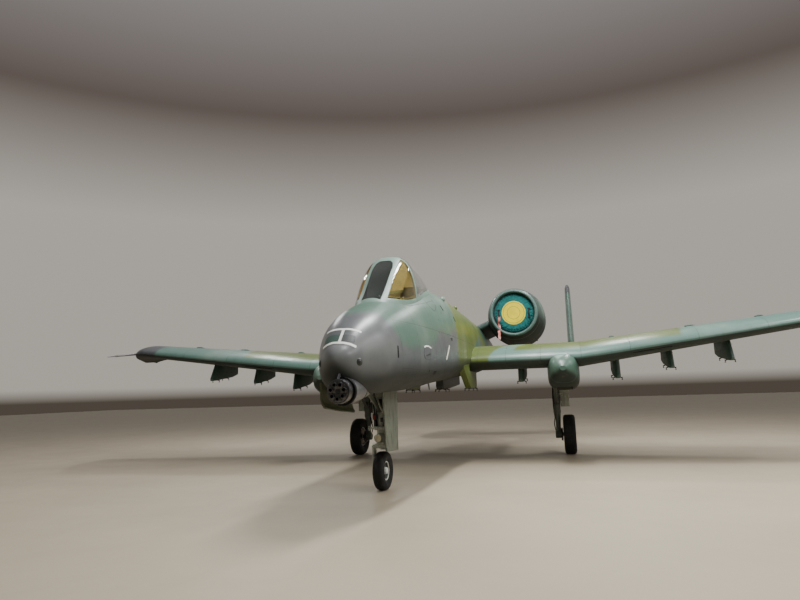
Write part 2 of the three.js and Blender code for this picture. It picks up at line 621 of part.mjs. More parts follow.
// Fuselage pylons: one on the centreline and one on each lower side
const sidePylon = largest(sidePlate(
  [[5180, 2120], [5240, 1960], [5990, 1592], [6800, 1592], [6850, 1700], [6850, 1950], [5950, 1950],
    [5850, 2120]], 585, 708)
  .subtract(fuselageSleeve));
const centrePylon = largest(sidePlate(
  [[6150, 2000], [6150, 1640], [6210, 1592], [6700, 1592], [8240, 1700], [8240, 2000]], -80, 80)
  .subtract(fuselageSleeve));

// Nacelle shell, engine block, intake cover and the strut to the fuselage
const nacelleRows = rows(NACELLE_COLUMNS, NACELLE);
const nacelleRings = (name, grow = 0) => nacelleRows.map((row) =>
  circleRing(NACELLE_SIDES, ENGINE_X, row.y, row.z, row[name] + grow));
const nacelle = loft([...nacelleRings('outer'), ...nacelleRings('inner').reverse()], true);
const FAN_FACE = 9300;
const ENGINE_ROWS = [
  [9080, 3474, 20], [9290, 3466, 165], [FAN_FACE, 3466, 559], [9560, 3455, 559],
  [9750, 3452, 450], [11500, 3540, 380], [12480, 3640, 275], [12485, 3640, 190], [12660, 3651, 10],
];
const engine = loft(ENGINE_ROWS.map(([y, z, radius]) => circleRing(NACELLE_SIDES, ENGINE_X, y, z, radius)));
const coverZ = (y) => fair(nacelleRows, 'y', 'z', y);
const COVER_ROWS = [[8915, 440], [8935, 500], [9020, 512.3]];
const intakeCover = loft(COVER_ROWS.map(([y, radius]) =>
  circleRing(NACELLE_SIDES, ENGINE_X, y, coverZ(y), radius)));
const nacelleBlank = loft(nacelleRings('outer', 0.5));
function engineStrut() {
  const outline = (x, z, front, back, thick) => [
    [x, front, z], [x, front + 260, z + thick], [x, back - 500, z + thick], [x, back, z],
    [x, back - 500, z - thick], [x, front + 260, z - thick],
  ];
  const beam = loft([outline(250, 3080, 9300, 12300, 190), outline(1100, 3420, 9300, 12100, 170)]);
  return largest(beam.subtract(nacelleBlank).subtract(fuselageSleeve));
}

// Tailplane, elevators, fins and rudders share one symmetric section
const tailSteps = [0, 0.03, 0.12, 0.3, 0.55, 0.8, 1];
function tailRing(place, thick, chord) {
  const upper = [];
  const lower = [];
  tailSteps.forEach((u) => {
    const t = Math.max(halfThick(u, thick) * chord, 4);
    upper.push(place(u, t));
    lower.push(place(u, -t));
  });
  return [...upper.reverse(), ...lower];
}
const tailChord = TAILPLANE.te - TAILPLANE.le;
const tailRingAt = (x) => tailRing(
  (u, t) => [x, TAILPLANE.le + u * tailChord, TAILPLANE.z + t], TAILPLANE.thick, tailChord);
const tailHingeY = TAILPLANE.le + TAILPLANE.hinge * tailChord;
const tailHalf = halfThick(TAILPLANE.hinge, TAILPLANE.thick) * tailChord;
const ELEVATOR = { x0: 380, x1: 2380 };
const elevatorCut = (side) => box(
  side > 0 ? ELEVATOR.x0 - 10 : -ELEVATOR.x1 - 10, side > 0 ? ELEVATOR.x1 + 10 : -ELEVATOR.x0 + 10,
  tailHingeY - tailHalf - CLEAR, TAILPLANE.te + 300, TAILPLANE.z - 300, TAILPLANE.z + 300);
const elevatorPins = (bore) => endPins(
  [ELEVATOR.x0, tailHingeY, TAILPLANE.z], [ELEVATOR.x1, tailHingeY, TAILPLANE.z], { bore });
function tailplane() {
  const plane = loft([-TAILPLANE.half, TAILPLANE.half].map(tailRingAt));
  const bores = elevatorPins(true);
  return [elevatorCut(1), elevatorCut(-1), bores, mirrorX(bores)].reduce((a, b) => a.subtract(b), plane);
}
const tailBlank = loft([-TAILPLANE.half, TAILPLANE.half].map(tailRingAt));
// Flat-sided flap with a round nose about its hinge, from hinge to trailing edge
function tailFlap(sections) {
  return loft(sections.map(({ hinge, radius, tip, place }) => {
    const nose = Array.from({ length: 7 }, (_, i) => {
      const angle = Math.PI * (0.5 + i / 6);
      return place(hinge + radius * Math.cos(angle), radius * Math.sin(angle));
    });
    return [...nose, place(tip, -5), place(tip, 5)];
  }));
}
const elevator = tailFlap([ELEVATOR.x0, ELEVATOR.x1].map((x) => ({
  hinge: tailHingeY, radius: tailHalf * 0.97, tip: TAILPLANE.te,
  place: (y, t) => [x, y, TAILPLANE.z + t],
}))).add(elevatorPins(false));
const finRows = rows(FIN_COLUMNS, FIN);
function finAt(z) {
  const i = Math.max(1, finRows.findIndex((row) => row.z >= z));
  const [a, b] = [finRows[i - 1], finRows[i]];
  const t = (z - a.z) / (b.z - a.z);
  const mix = (name) => THREE.MathUtils.lerp(a[name], b[name], t);
  return { z, le: mix('le'), te: mix('te'), half: mix('half') };
}
function finRing(z) {
  const { le, te, half } = finAt(z);
  return tailRing((u, t) => [FIN_X + t, le + u * (te - le), z], half / (te - le) / 0.5, te - le);
}
const finLevels = [2430, 2530, 2780, 3700, 4700, 5000, 5120];
function rudderSection(z) {
  const { le, te, half } = finAt(z);
  const chord = te - le;
  const radius = halfThick(RUDDER.hinge, half / chord / 0.5) * chord * 0.97;
  return { hinge: le + RUDDER.hinge * chord, radius, tip: te, place: (y, t) => [FIN_X + t, y, z] };
}
const rudderPins = (bore) => endPins(...[RUDDER.low, RUDDER.high].map((z) =>
  [FIN_X, rudderSection(z).hinge, z]), { bore });
const rudder = tailFlap([RUDDER.low, RUDDER.high].map(rudderSection)).add(rudderPins(false));
const rudderCut = loft([RUDDER.low - 12, RUDDER.high + 12].map((z) => {
  const s = rudderSection(z);
  const front = s.hinge - s.radius - CLEAR;
  return [[FIN_X - 300, front, z], [FIN_X + 300, front, z], [FIN_X + 300, 16600, z], [FIN_X - 300, 16600, z]];
}));
const tailClear = margin(tailBlank);
const fin = largest(loft(finLevels.map(finRing)).subtract(rudderCut).subtract(rudderPins(true))
  .subtract(tailClear));

// Wheels
const WHEEL_SIDES = 24;
const AXLE_GAP = 0.9;
function wheelProfile(points, x, y, z) {
  const geometry = new THREE.LatheGeometry(points.map(([r, w]) => new THREE.Vector2(r, w)), WHEEL_SIDES);
  geometry.rotateZ(-Math.PI / 2);
  geometry.translate(x, y, z);
  return solid(geometry);
}
const closed = (points) => [...points, points[0]];
function tyre({ x, y, radius, half, rim }) {
  const side = [[rim + 1, 0.62], [(rim + radius) / 2, 1], [radius - 28, 0.86], [radius, 0.45]];
  const points = [...side.map(([r, w]) => [r, w * half]), ...side.reverse().map(([r, w]) => [r, -w * half])];
  return wheelProfile(closed(points), x, y, radius);
}
function rim({ x, y, radius, half, rim: outer, bore }) {
  const face = half * 0.62;
  return wheelProfile(closed([
    [bore, face * 0.5], [outer * 0.45, face * 0.5], [outer * 0.86, face * 0.1],
    [outer * 0.9, face], [outer, face], [outer, -face], [outer * 0.9, -face], [bore, -face * 0.3],
  ]), x, y, radius);
}

// Nose gear: a fixed leg in the bay, and a steered fork with the axle
const noseLegTop = BAY.top - GAP;
const SPIGOT = { low: 760, radius: 60 };
function noseLeg() {
  const { x, y } = NOSE_WHEEL;
  const strut = bar([x, y, 900], [x, y, noseLegTop], 85, 16);
  const brace = bar([x, y - 40, 1250], [x, 1700, BAY.top - 130], 38, 8);
  const pad = box(x - 60, x + 60, 1640, 1760, BAY.top - 170, noseLegTop);
  const trunnion = bar([BAY.x0 + GAP, y, 1900], [BAY.x1 - GAP, y, 1900], 50, 10);
  const spigot = bar([x, y, SPIGOT.low], [x, y, 910], SPIGOT.radius, WHEEL_SIDES);
  return union(strut, brace, pad, trunnion, spigot);
}
function noseFork() {
  const { x, y, radius, half } = NOSE_WHEEL;
  const collar = bar([x, y, 720], [x, y, 900 - CLEAR], 96, 16);
  const crown = box(x - half - 60, x + half + 22, y - 70, y + 70, 660, 730);
  const arm = sidePlate([[y - 70, 700], [y + 70, 700], [y + 45, 260], [y - 45, 260]],
    x - half - 60, x - half - 22);
  const axle = bar([x - half - 60, y, radius], [x + half * 0.62, y, radius], NOSE_WHEEL.bore - AXLE_GAP, 16);
  const lamp = bar([x - 20, y - 175, 830], [x - 20, y - 96, 830], 65, 16);
  const lampArm = box(x - 40, x, y - 110, y - 80, 760, 860);
  const socket = bar([x, y, SPIGOT.low - 1], [x, y, 1000], SPIGOT.radius + AXLE_GAP, WHEEL_SIDES);
  return union(collar, crown, arm, axle, lamp, lampArm).subtract(socket);
}
const NOSE_DOOR = { x0: BAY.x1 + 12, x1: BAY.x1 + 40 };
const noseSideDoor = largest(sidePlate([[2560, 640], [3200, 610], [3240, 1640], [2420, 1640]],
  NOSE_DOOR.x0, NOSE_DOOR.x1).subtract(fuselage(NOSE_STATIONS, GAP)));
const noseFrontDoor = largest(loft([[870, 1365], [1450, 1305], [2020, 1268]].map(([y, low]) => [
  [-500, y, 1700], [-474, y, 1700], [-468, y, low + 90], [-430, y, low + 12], [-452, y, low],
  [-494, y, low + 90],
])).subtract(fuselage(NOSE_STATIONS, GAP)));

// Main gear: leg under the pod's inboard side, axle reaching out to the wheel
const LEG_X = 2370;
const podSkin = pod(GAP);
function mainLeg() {
  const { x, y, radius } = MAIN_WHEEL;
  const cylinder = bar([LEG_X, 8240, 1750], [LEG_X, 8300, 950], 82, 16, 74);
  const piston = bar([LEG_X, 8300, 960], [LEG_X, y, radius], 52, 14);
  const knuckle = bar([LEG_X - 70, y, radius], [LEG_X + 75, y, radius], 88, 14);
  const axle = bar([LEG_X, y, radius], [x + 60, y, radius], MAIN_WHEEL.bore - AXLE_GAP, 16);
  const linkTop = sidePlate([[8340, 1080], [8520, 800], [8560, 800], [8400, 1100]], LEG_X - 30, LEG_X + 30);
  const linkLow = sidePlate([[8400, 540], [8560, 800], [8520, 830], [8350, 560]], LEG_X - 30, LEG_X + 30);
  const brace = bar([LEG_X, 8260, 1150], [LEG_X, 7500, 1700], 36, 8);
  return union(cylinder, piston, knuckle, axle, linkTop, linkLow, brace).subtract(podSkin);
}
const mainDoor = largest(box(2460, 2665, 8420, 8446, 1100, 1700).subtract(podSkin));

// Pitot probe ahead of the starboard wing tip
const pitotProbe = bar([-8020, 5450, 2615], [-8020, 6520, 2740], 12, 8, 26);

const airframe = new THREE.Group();
airframe.position.set(0, -LENGTH / 2, 0);
function piece(name, body, finish) {
  const mesh = new THREE.Mesh(geometryOf(body), finish);
  mesh.name = name;
  airframe.add(mesh);
}
function pair(name, body, finish) {
  piece(`${name}_left`, body, finish);
  piece(`${name}_right`, mirrorX(body), finish);
}

const charcoal = material(PAINT.charcoal, 0.5);
const sage = material(PAINT.sage, 0.55);
const teal = material(PAINT.teal, 0.55);
const olive = material(PAINT.olive, 0.6);
const gearPaint = material(PAINT.gear, 0.5);
const darkMetal = material(PAINT.dark, 0.5, 0.5);
const rubber = material(PAINT.tyre, 0.85, 0);
const rimPaint = material(PAINT.rim, 0.45, 0.3);
const seatPaint = material(PAINT.seat, 0.8, 0);
const coverCloth = material(PAINT.cover, 0.9, 0);
const clear = glassMaterial(0xb8c4c4);
const amber = glassMaterial(0xb9903a);

piece('forward_fuselage', forwardFuselage, charcoal);
piece('mid_fuselage', fuselage(MID_STATIONS), olive);
piece('tail_fuselage', largest(fuselage(TAIL_STATIONS).subtract(tailClear)), sage);
piece('gun_muzzle', gunMuzzle(), darkMetal);
piece('windscreen_frame', windscreenFrame, sage);
piece('windscreen_front_pane', frontGlass, clear);
const sidePanes = sideGlass.decompose().filter((p) => p.volume() > 1e4);
sidePanes.forEach((p) => {
  const port = p.boundingBox().max[0] > 0;
  piece(`windscreen_side_pane_${port ? 'left' : 'right'}`, p, amber);
});
piece('canopy_frame', canopyFrame, sage);
piece('canopy_glass', canopyGlass, clear);
piece('ejection_seat', ejectionSeat(), seatPaint);
piece('instrument_panel', instrumentPanel(), darkMetal);

pair('inner_wing', innerWing, teal);
piece('outer_wing_left', outerWithPylons, teal);
piece('outer_wing_right', mirrorX(outerWithPylons).add(pitotProbe), teal);
pair('inner_flap', flap(INNER_FLAP), teal);
pair('outer_flap', flap(OUTER_FLAP), teal);
pair('aileron_upper', aileronUpper, teal);
pair('aileron_lower', aileronLower, teal);
pair('gear_pod', gearPod, teal);
pair('inner_pylon', innerPylon, teal);
piece('belly_pylon_centre', centrePylon, darkMetal);
pair('belly_pylon', sidePylon, olive);

pair('nacelle', nacelle, charcoal);
pair('engine', engine, darkMetal);
pair('intake_cover', intakeCover, coverCloth);
pair('engine_strut', engineStrut(), charcoal);

piece('tailplane', tailplane(), teal);
pair('elevator', elevator, teal);
pair('fin', fin, teal);
pair('rudder', rudder, teal);

piece('nose_leg', noseLeg(), gearPaint);
piece('nose_fork', noseFork(), gearPaint);
piece('nose_rim', rim(NOSE_WHEEL), rimPaint);
piece('nose_tyre', tyre(NOSE_WHEEL), rubber);
piece('nose_side_door', noseSideDoor, gearPaint);
piece('nose_front_door', noseFrontDoor, olive);
pair('main_leg', mainLeg(), gearPaint);
pair('main_rim', rim(MAIN_WHEEL), rimPaint);
pair('main_tyre', tyre(MAIN_WHEEL), rubber);
pair('main_door', mainDoor, gearPaint);

const aircraft = new THREE.Group();
aircraft.add(airframe);

export default aircraft;
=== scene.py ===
"""Blender scene of a twin-engine ground-attack jet aircraft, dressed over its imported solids.

Shapes are drawn in millimetres, as in the solids: x to port, y the station aft of the gun's muzzle,
z above the ground. piece() moves them to the record's frame, in metres.
"""
import math
import random

import bmesh
import bpy
import numpy as np
from mathutils import Matrix, Vector
from mathutils.bvhtree import BVHTree


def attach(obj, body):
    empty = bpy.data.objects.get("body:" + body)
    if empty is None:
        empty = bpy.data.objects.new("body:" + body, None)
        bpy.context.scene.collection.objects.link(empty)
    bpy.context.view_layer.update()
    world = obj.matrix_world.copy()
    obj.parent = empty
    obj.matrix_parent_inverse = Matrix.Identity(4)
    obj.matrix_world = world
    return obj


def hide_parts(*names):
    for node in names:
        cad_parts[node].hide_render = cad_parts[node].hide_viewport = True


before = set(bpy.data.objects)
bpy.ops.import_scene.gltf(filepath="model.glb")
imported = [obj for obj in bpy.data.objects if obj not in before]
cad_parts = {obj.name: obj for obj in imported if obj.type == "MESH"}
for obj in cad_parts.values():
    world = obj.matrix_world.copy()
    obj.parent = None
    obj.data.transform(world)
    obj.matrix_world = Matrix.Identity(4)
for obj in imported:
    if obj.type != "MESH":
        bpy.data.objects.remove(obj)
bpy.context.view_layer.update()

MM = 0.001
HALF_LENGTH = 8130.0
STATION_ZERO = HALF_LENGTH * MM
BIG = 4000.0
random.seed(7)


# ---------------------------------------------------------------- tables
class Table:
    """Rows of named columns over a key, read between the rows by a monotone cubic."""

    def __init__(self, names, rows):
        data = np.array(rows, float)
        self.key = data[:, 0]
        self.values = {name: data[:, i + 1] for i, name in enumerate(names)}
        self.slopes = {name: self._slopes(v) for name, v in self.values.items()}

    def _slopes(self, values):
        step = np.diff(self.key)
        slope = np.diff(values) / step
        result = np.zeros(len(values))
        for i in range(1, len(values) - 1):
            if slope[i - 1] * slope[i] > 0:
                first = 2 * step[i] + step[i - 1]
                second = step[i] + 2 * step[i - 1]
                result[i] = (first + second) / (first / slope[i - 1] + second / slope[i])
        for end, near, far in ((0, 0, 1), (-1, -1, -2)):
            edge = (2 * step[near] + step[far]) * slope[near] - step[near] * slope[far]
            edge /= step[near] + step[far]
            if edge * slope[near] <= 0:
                edge = 0.0
            elif slope[near] * slope[far] <= 0 and abs(edge) > 3 * abs(slope[near]):
                edge = 3 * slope[near]
            result[end] = edge
        return result

    def at(self, name, x):
        x = min(max(x, self.key[0]), self.key[-1])
        i = min(int(np.searchsorted(self.key, x, "right")) - 1, len(self.key) - 2)
        h = self.key[i + 1] - self.key[i]
        t = (x - self.key[i]) / h
        v, m = self.values[name], self.slopes[name]
        return ((1 + 2 * t) * (1 - t) ** 2 * v[i] + t * (1 - t) ** 2 * h * m[i]
                + t * t * (3 - 2 * t) * v[i + 1] + t * t * (t - 1) * h * m[i + 1])

    def row(self, x):
        return {name: self.at(name, x) for name in self.values}


FUSELAGE = Table(("half", "mid", "top", "bottom", "n_top", "n_bottom"), [
    (130, 40, 1965, 2000, 1925, 2.0, 2.0), (250, 196, 1940, 2144, 1698, 2.1, 2.2),
    (500, 340, 1940, 2389, 1539, 2.2, 2.3), (850, 487, 1970, 2601, 1520, 2.2, 2.4),
    (1300, 568, 2000, 2776, 1539, 2.2, 2.4), (1800, 625, 2030, 2939, 1549, 2.2, 2.5),
    (2600, 679, 2070, 3187, 1579, 2.2, 2.6), (3600, 721, 2120, 3379, 1660, 2.2, 2.7),
    (4800, 743, 2200, 3480, 1722, 2.3, 2.4), (6000, 739, 2250, 3453, 1785, 2.4, 2.2),
    (7500, 728, 2270, 3430, 1872, 2.4, 2.1), (8500, 715, 2280, 3412, 1920, 2.4, 2.1),
    (9300, 700, 2310, 3395, 1965, 2.4, 2.1), (10050, 680, 2360, 3370, 2020, 2.3, 2.0),
    (11500, 600, 2480, 3290, 2130, 2.3, 2.2), (13500, 430, 2640, 3140, 2290, 2.2, 2.2),
    (15000, 270, 2710, 3000, 2450, 2.0, 2.0), (15800, 90, 2740, 2840, 2650, 2.0, 2.0),
])
NOSE_BREAK, TAIL_BREAK, TAIL_END = 5600, 10000, 15800
BODY_SIDES = 112
GAP = 0.3
# The nose ahead of this station is a rounded dome
DOME = {"tip": 112.0, "end": 250.0, "power": 0.58}

BUBBLE = Table(("half", "mid", "top", "n"), [
    (1400, 194, 2640, 2752, 2.0), (1570, 258, 2670, 2893, 2.1), (1750, 324, 2700, 3046, 2.2),
    (2200, 420, 2800, 3484, 2.5), (2500, 446, 2850, 3704, 2.7), (2800, 442, 2900, 3766, 2.4),
    (3400, 410, 2980, 3752, 2.1), (4100, 345, 3080, 3660, 2.1), (4700, 248, 3200, 3525, 2.1),
    (5150, 90, 3330, 3430, 2.0),
])
GLASS_THICK, FRAME_THICK = 12, 30
BOW, BOW_BAND, BOW_GAP = 2552, 46, 4
CANOPY_HINGE = (5060, 3490)
COCKPIT = {"front": 1960, "back": 4560, "half": 350, "floor": 2260, "sill": 2880}
REAR_WELL = {"front": 3800, "half": 300, "top": 3250}

WING = {"le": 5990, "z": 2150, "root_chord": 3040, "kink": 2950, "tip": 7700, "tip_chord": 2121,
        "tip_le": 6228, "dihedral": math.tan(math.radians(7)), "root_thick": 0.172,
        "tip_thick": 0.145, "hinge": 0.67}
WING_TIP = [  # dx, dz, d_le (leading edge moved aft), thickness scale
    (0, 0, 0, 1), (150, 0, 60, 1), (300, -4, 185, 1), (450, -10, 355, 0.99), (600, -20, 540, 0.97),
    (750, -36, 750, 0.93), (880, -60, 1000, 0.84), (1000, -95, 1290, 0.68),
    (1065, -130, 1500, 0.45),
]
POD_X = 2590
POD = Table(("half", "mid", "top", "bottom", "n"), [
    (5700, 60, 1930, 1975, 1880, 2.2), (5810, 200, 1920, 2110, 1730, 2.6),
    (6100, 290, 1900, 2250, 1600, 3.2), (6600, 326, 1890, 2310, 1520, 3.8),
    (7800, 330, 1890, 2310, 1490, 3.8), (8700, 285, 1920, 2240, 1590, 3.0),
    (9400, 155, 1970, 2120, 1800, 2.4), (9720, 40, 2010, 2050, 1970, 2.0),
])
ENGINE_X = 1445
NACELLE = Table(("z", "outer", "inner"), [
    (8810, 3490, 575, 555), (8855, 3490, 610, 526), (9030, 3480, 660, 512), (9300, 3466, 712, 560),
    (9750, 3452, 752, 572), (10550, 3462, 750, 560), (11400, 3526, 672, 535),
    (12200, 3615, 532, 505),
])
MAIN_WHEEL = {"x": 2625, "y": 8372, "radius": 457, "half": 140, "rim": 232}
NOSE_WHEEL = {"x": -316, "y": 2972, "radius": 305, "half": 98, "rim": 150}
TAILPLANE = {"le": 13560, "te": 15420, "z": 2780, "half": 2790, "thick": 0.12, "hinge": 0.70}
FIN_X = 2870
FIN = [(2430, 14280, 15600, 64), (2530, 14060, 16260, 92), (2780, 13990, 16260, 108),
       (4700, 14440, 15990, 90), (5000, 14600, 15900, 82), (5120, 14900, 15700, 46)]
RUDDER = {"low": 2600, "high": 4780, "hinge": 0.70}
PYLONS = [  # x, foot station, foot height, setback of the root, back
    (1700, 6560, 1690, 150, 7780), (3677, 6650, 1700, 170, 7700),
    (4729, 6650, 1868, 230, 7640), (5792, 6410, 1968, 340, 7580),
]
PYLON_HALF = 65
GUN = {"x": 90, "z": 1575}
BAY = {"x0": -470, "x1": -150, "y0": 900, "y1": 3250, "top": 2020}
LEG_X = 2370


# ---------------------------------------------------------------- meshes
def bmesh_of(*meshes):
    bm = bmesh.new()
    for mesh in meshes:
        bm.from_mesh(mesh)
    return bm


def mesh_of(bm):
    """A new mesh from a bmesh, which is freed."""
    mesh = bpy.data.meshes.new("work")
    bm.to_mesh(mesh)
    bm.free()
    return mesh


def raw_mesh(points, faces):
    mesh = bpy.data.meshes.new("work")
    mesh.from_pydata([tuple(map(float, p)) for p in points], [], faces)
    bm = bmesh_of(mesh)
    bmesh.ops.recalc_face_normals(bm, faces=bm.faces)
    return mesh_of(bm)


def link(obj):
    bpy.context.scene.collection.objects.link(obj)
    return obj


def evaluated(obj):
    """A mesh of an object with its modifiers applied."""
    graph = bpy.context.evaluated_depsgraph_get()
    return bpy.data.meshes.new_from_object(obj.evaluated_get(graph))


def tree_of(mesh):
    return BVHTree.FromPolygons([v.co.copy() for v in mesh.vertices],
                                [tuple(p.vertices) for p in mesh.polygons])


def unit(vector):
    return np.array(vector, float) / np.linalg.norm(vector)


def turns(sides):
    """Cosines and sines of a full turn in equal steps."""
    angle = 2 * math.pi * np.arange(sides) / sides
    return np.cos(angle), np.sin(angle)


def cosine_steps(count):
    """Places from 0 to 1 that crowd towards both ends."""
    return [(1 - math.cos(math.pi * k / count)) / 2 for k in range(count + 1)]


def loft(rings, loop=False):
    """A closed body through matching rings; a loop of rings makes a duct."""
    count = len(rings[0])
    faces = []
    for r in range(len(rings) if loop else len(rings) - 1):
        a, b = r * count, ((r + 1) % len(rings)) * count
        faces += [(a + i, a + (i + 1) % count, b + (i + 1) % count, b + i) for i in range(count)]
    if not loop:
        last = (len(rings) - 1) * count
        faces += [tuple(range(count)), tuple(range(last, last + count))]
    return raw_mesh(np.vstack(rings), faces)


def carve(operation, mesh, others):
    """Applies one boolean operation with each of the other meshes in turn."""
    body = link(bpy.data.objects.new("work", mesh))
    tools = []
    for other in others:
        tools.append(link(bpy.data.objects.new("tool", other)))
        cut = body.modifiers.new("cut", "BOOLEAN")
        cut.operation, cut.solver, cut.object = operation, "MANIFOLD", tools[-1]
    result = evaluated(body)
    for o in [body, *tools]:
        bpy.data.objects.remove(o)
    result.materials.clear()
    return result


def minus(mesh, *others):
    return carve("DIFFERENCE", mesh, others)


def plus(mesh, *others):
    return carve("UNION", mesh, others)


def common(mesh, *others):
    return carve("INTERSECT", mesh, others)


def merged(*meshes):
    """One mesh of several bodies, without joining their surfaces."""
    return mesh_of(bmesh_of(*meshes))


def mirrored(mesh):
    result = mesh.copy()
    result.transform(Matrix.Diagonal((-1, 1, 1, 1)))
    result.flip_normals()
    return result


def largest(mesh):
    """The biggest of a mesh's separate bodies."""
    bm = bmesh_of(mesh)
    bm.verts.ensure_lookup_table()
    seen, best = set(), []
    for v in bm.verts:
        if v.index in seen:
            continue
        group, stack = [], [v]
        seen.add(v.index)
        while stack:
            w = stack.pop()
            group.append(w)
            for e in w.link_edges:
                o = e.other_vert(w)
                if o.index not in seen:
                    seen.add(o.index)
                    stack.append(o)
        if len(group) > len(best):
            best = group
    keep = set(best)
    bmesh.ops.delete(bm, geom=[v for v in bm.verts if v not in keep], context="VERTS")
    return mesh_of(bm)


def bevelled(mesh, width, segments=2, angle=35):
    """Rounds a mesh's sharp edges."""
    bm = bmesh_of(mesh)
    bmesh.ops.remove_doubles(bm, verts=bm.verts, dist=0.01)
    limit = math.radians(angle)
    edges = [e for e in bm.edges if len(e.link_faces) == 2 and e.calc_face_angle(0) > limit]
    bmesh.ops.bevel(bm, geom=edges, offset=width, offset_type="OFFSET", segments=segments,
                    profile=0.5, affect="EDGES", clamp_overlap=True)
    return mesh_of(bm)


def oval(sides, y, half, mid, top, bottom, n_top, n_bottom, x=0.0):
    """A ring of superellipse quarters; n_top and n_bottom are the powers above and below mid."""
    c, s = turns(sides)
    n = np.where(s >= 0, n_top, n_bottom)
    rise = np.where(s >= 0, top - mid, mid - bottom)
    return np.column_stack((
        x + half * np.sign(c) * np.abs(c) ** (2 / n), np.full(sides, float(y)),
        mid + rise * np.sign(s) * np.abs(s) ** (2 / n)))


def circle(sides, x, y, z, radius):
    return oval(sides, y, radius, z, z + radius, z - radius, 2, 2, x)


def box(x0, x1, y0, y1, z0, z1):
    points = [(x, y, z) for x in (x0, x1) for y in (y0, y1) for z in (z0, z1)]
    return raw_mesh(points, [(0, 1, 3, 2), (4, 6, 7, 5), (0, 4, 5, 1), (2, 3, 7, 6), (0, 2, 6, 4),
                             (1, 5, 7, 3)])


def rounded_box(x0, x1, y0, y1, z0, z1, radius=8, segments=2):
    return bevelled(box(x0, x1, y0, y1, z0, z1), radius, segments)


def basis(direction):
    """Two unit vectors square to a direction."""
    d = unit(direction)
    side = unit(np.cross(d, (0, 0, 1) if abs(d[2]) < 0.9 else (0, 1, 0)))
    return side, np.cross(d, side)


def spun(start, direction, profile, sides=32, duct=False):
    """A body of revolution: profile rows are (distance along direction, radius)."""
    d = unit(direction)
    u, v = basis(d)
    c, s = turns(sides)
    around = np.outer(c, u) + np.outer(s, v)
    return loft([np.array(start, float) + d * along + around * max(radius, 0.05)
                 for along, radius in profile], duct)


def spun_duct(start, direction, profile, sides=32):
    """A hollow body of revolution whose profile closes on itself."""
    return spun(start, direction, profile, sides, True)


def bar(a, b, radius, sides=20, end_radius=None, chamfer=0.0):
    """A round bar between two points, with chamfered ends."""
    a, b = np.array(a, float), np.array(b, float)
    length = float(np.linalg.norm(b - a))
    last = radius if end_radius is None else end_radius
    c = min(chamfer, length / 3)
    rows = [(c, radius), (length - c, last)]
    if c > 0:
        rows = [(0, radius - c), *rows, (length, last - c)]
    return spun(a, b - a, rows, sides)


def smooth_path(points, steps=6):
    """Points of a smooth path through the given ones."""
    p = [np.array(q, float) for q in points]
    path = []
    for i in range(len(p) - 1):
        before, after = p[max(i - 1, 0)], p[min(i + 2, len(p) - 1)]
        for k in range(steps):
            t = k / steps
            path.append(0.5 * (2 * p[i] + (p[i + 1] - before) * t
                               + (2 * before - 5 * p[i] + 4 * p[i + 1] - after) * t * t
                               + (3 * p[i] - before - 3 * p[i + 1] + after) * t ** 3))
    return path + [p[-1]]


def heading(path, i):
    """The way that a path runs at one of its points, from the point before to the one after."""
    return path[min(i + 1, len(path) - 1)] - path[max(i - 1, 0)]


def tube(points, radius, sides=12):
    """A round tube along a smooth path through the points."""
    path = smooth_path(points)
    c, s = turns(sides)
    u = basis(path[1] - path[0])[0]
    rings = []
    for i, q in enumerate(path):
        d = unit(heading(path, i))
        u = unit(u - d * np.dot(u, d))
        rings.append(q + radius * (np.outer(c, u) + np.outer(s, np.cross(d, u))))
    return loft(rings)


def plate(outline, x0, x1, bevel=0.0, segments=2):
    """A flat plate from an outline of (y, z) points, between two x values."""
    mesh = loft([[(x, y, z) for y, z in outline] for x in (x0, x1)])
    return bevelled(mesh, bevel, segments) if bevel else mesh


# ---------------------------------------------------------------- pieces
def piece(name, mesh, finish, body="airframe", replaces=(), smooth=32, slot=None):
    """A finished piece from a mesh in millimetres; finish is one material or several."""
    finishes = finish if isinstance(finish, list) else [finish]
    mesh = mesh.copy()
    mesh.name = name
    mesh.transform(Matrix.Diagonal((MM, MM, MM, 1)) @ Matrix.Translation((0, -HALF_LENGTH, 0)))
    mesh.shade_smooth()
    mesh.set_sharp_from_angle(angle=math.radians(smooth))
    for material in finishes:
        mesh.materials.append(material)
    obj = link(bpy.data.objects.new(name, mesh))
    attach(obj, body)
    slot or SLOT_OF[finishes[0].name]
    if replaces:
        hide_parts(*replaces)
    return obj


def pair(name, mesh, finish, body="airframe", replaces=(), smooth=32, slot=None):
    """A port piece and its mirror image; {} in body and node names stands for left or right."""
    return [piece(f"{name}_{side}", half, finish, body.format(side),
                  [node.format(side) for node in replaces], smooth, slot)
            for side, half in (("left", mesh), ("right", mirrored(mesh)))]


SIDES = (("left", 1), ("right", -1))


# ---------------------------------------------------------------- materials
def rgb(r, g, b):
    """A linear colour from its 0 to 255 display values."""
    return tuple(((c / 255 + 0.055) / 1.055) ** 2.4 if c > 10 else c / 255 / 12.92
                 for c in (r, g, b)) + (1.0,)


CHARCOAL, SAGE, OLIVE = rgb(75, 78, 81), rgb(66, 93, 80), rgb(80, 93, 40)
DARK_LINE, GRIME = rgb(38, 40, 38), rgb(46, 44, 38)


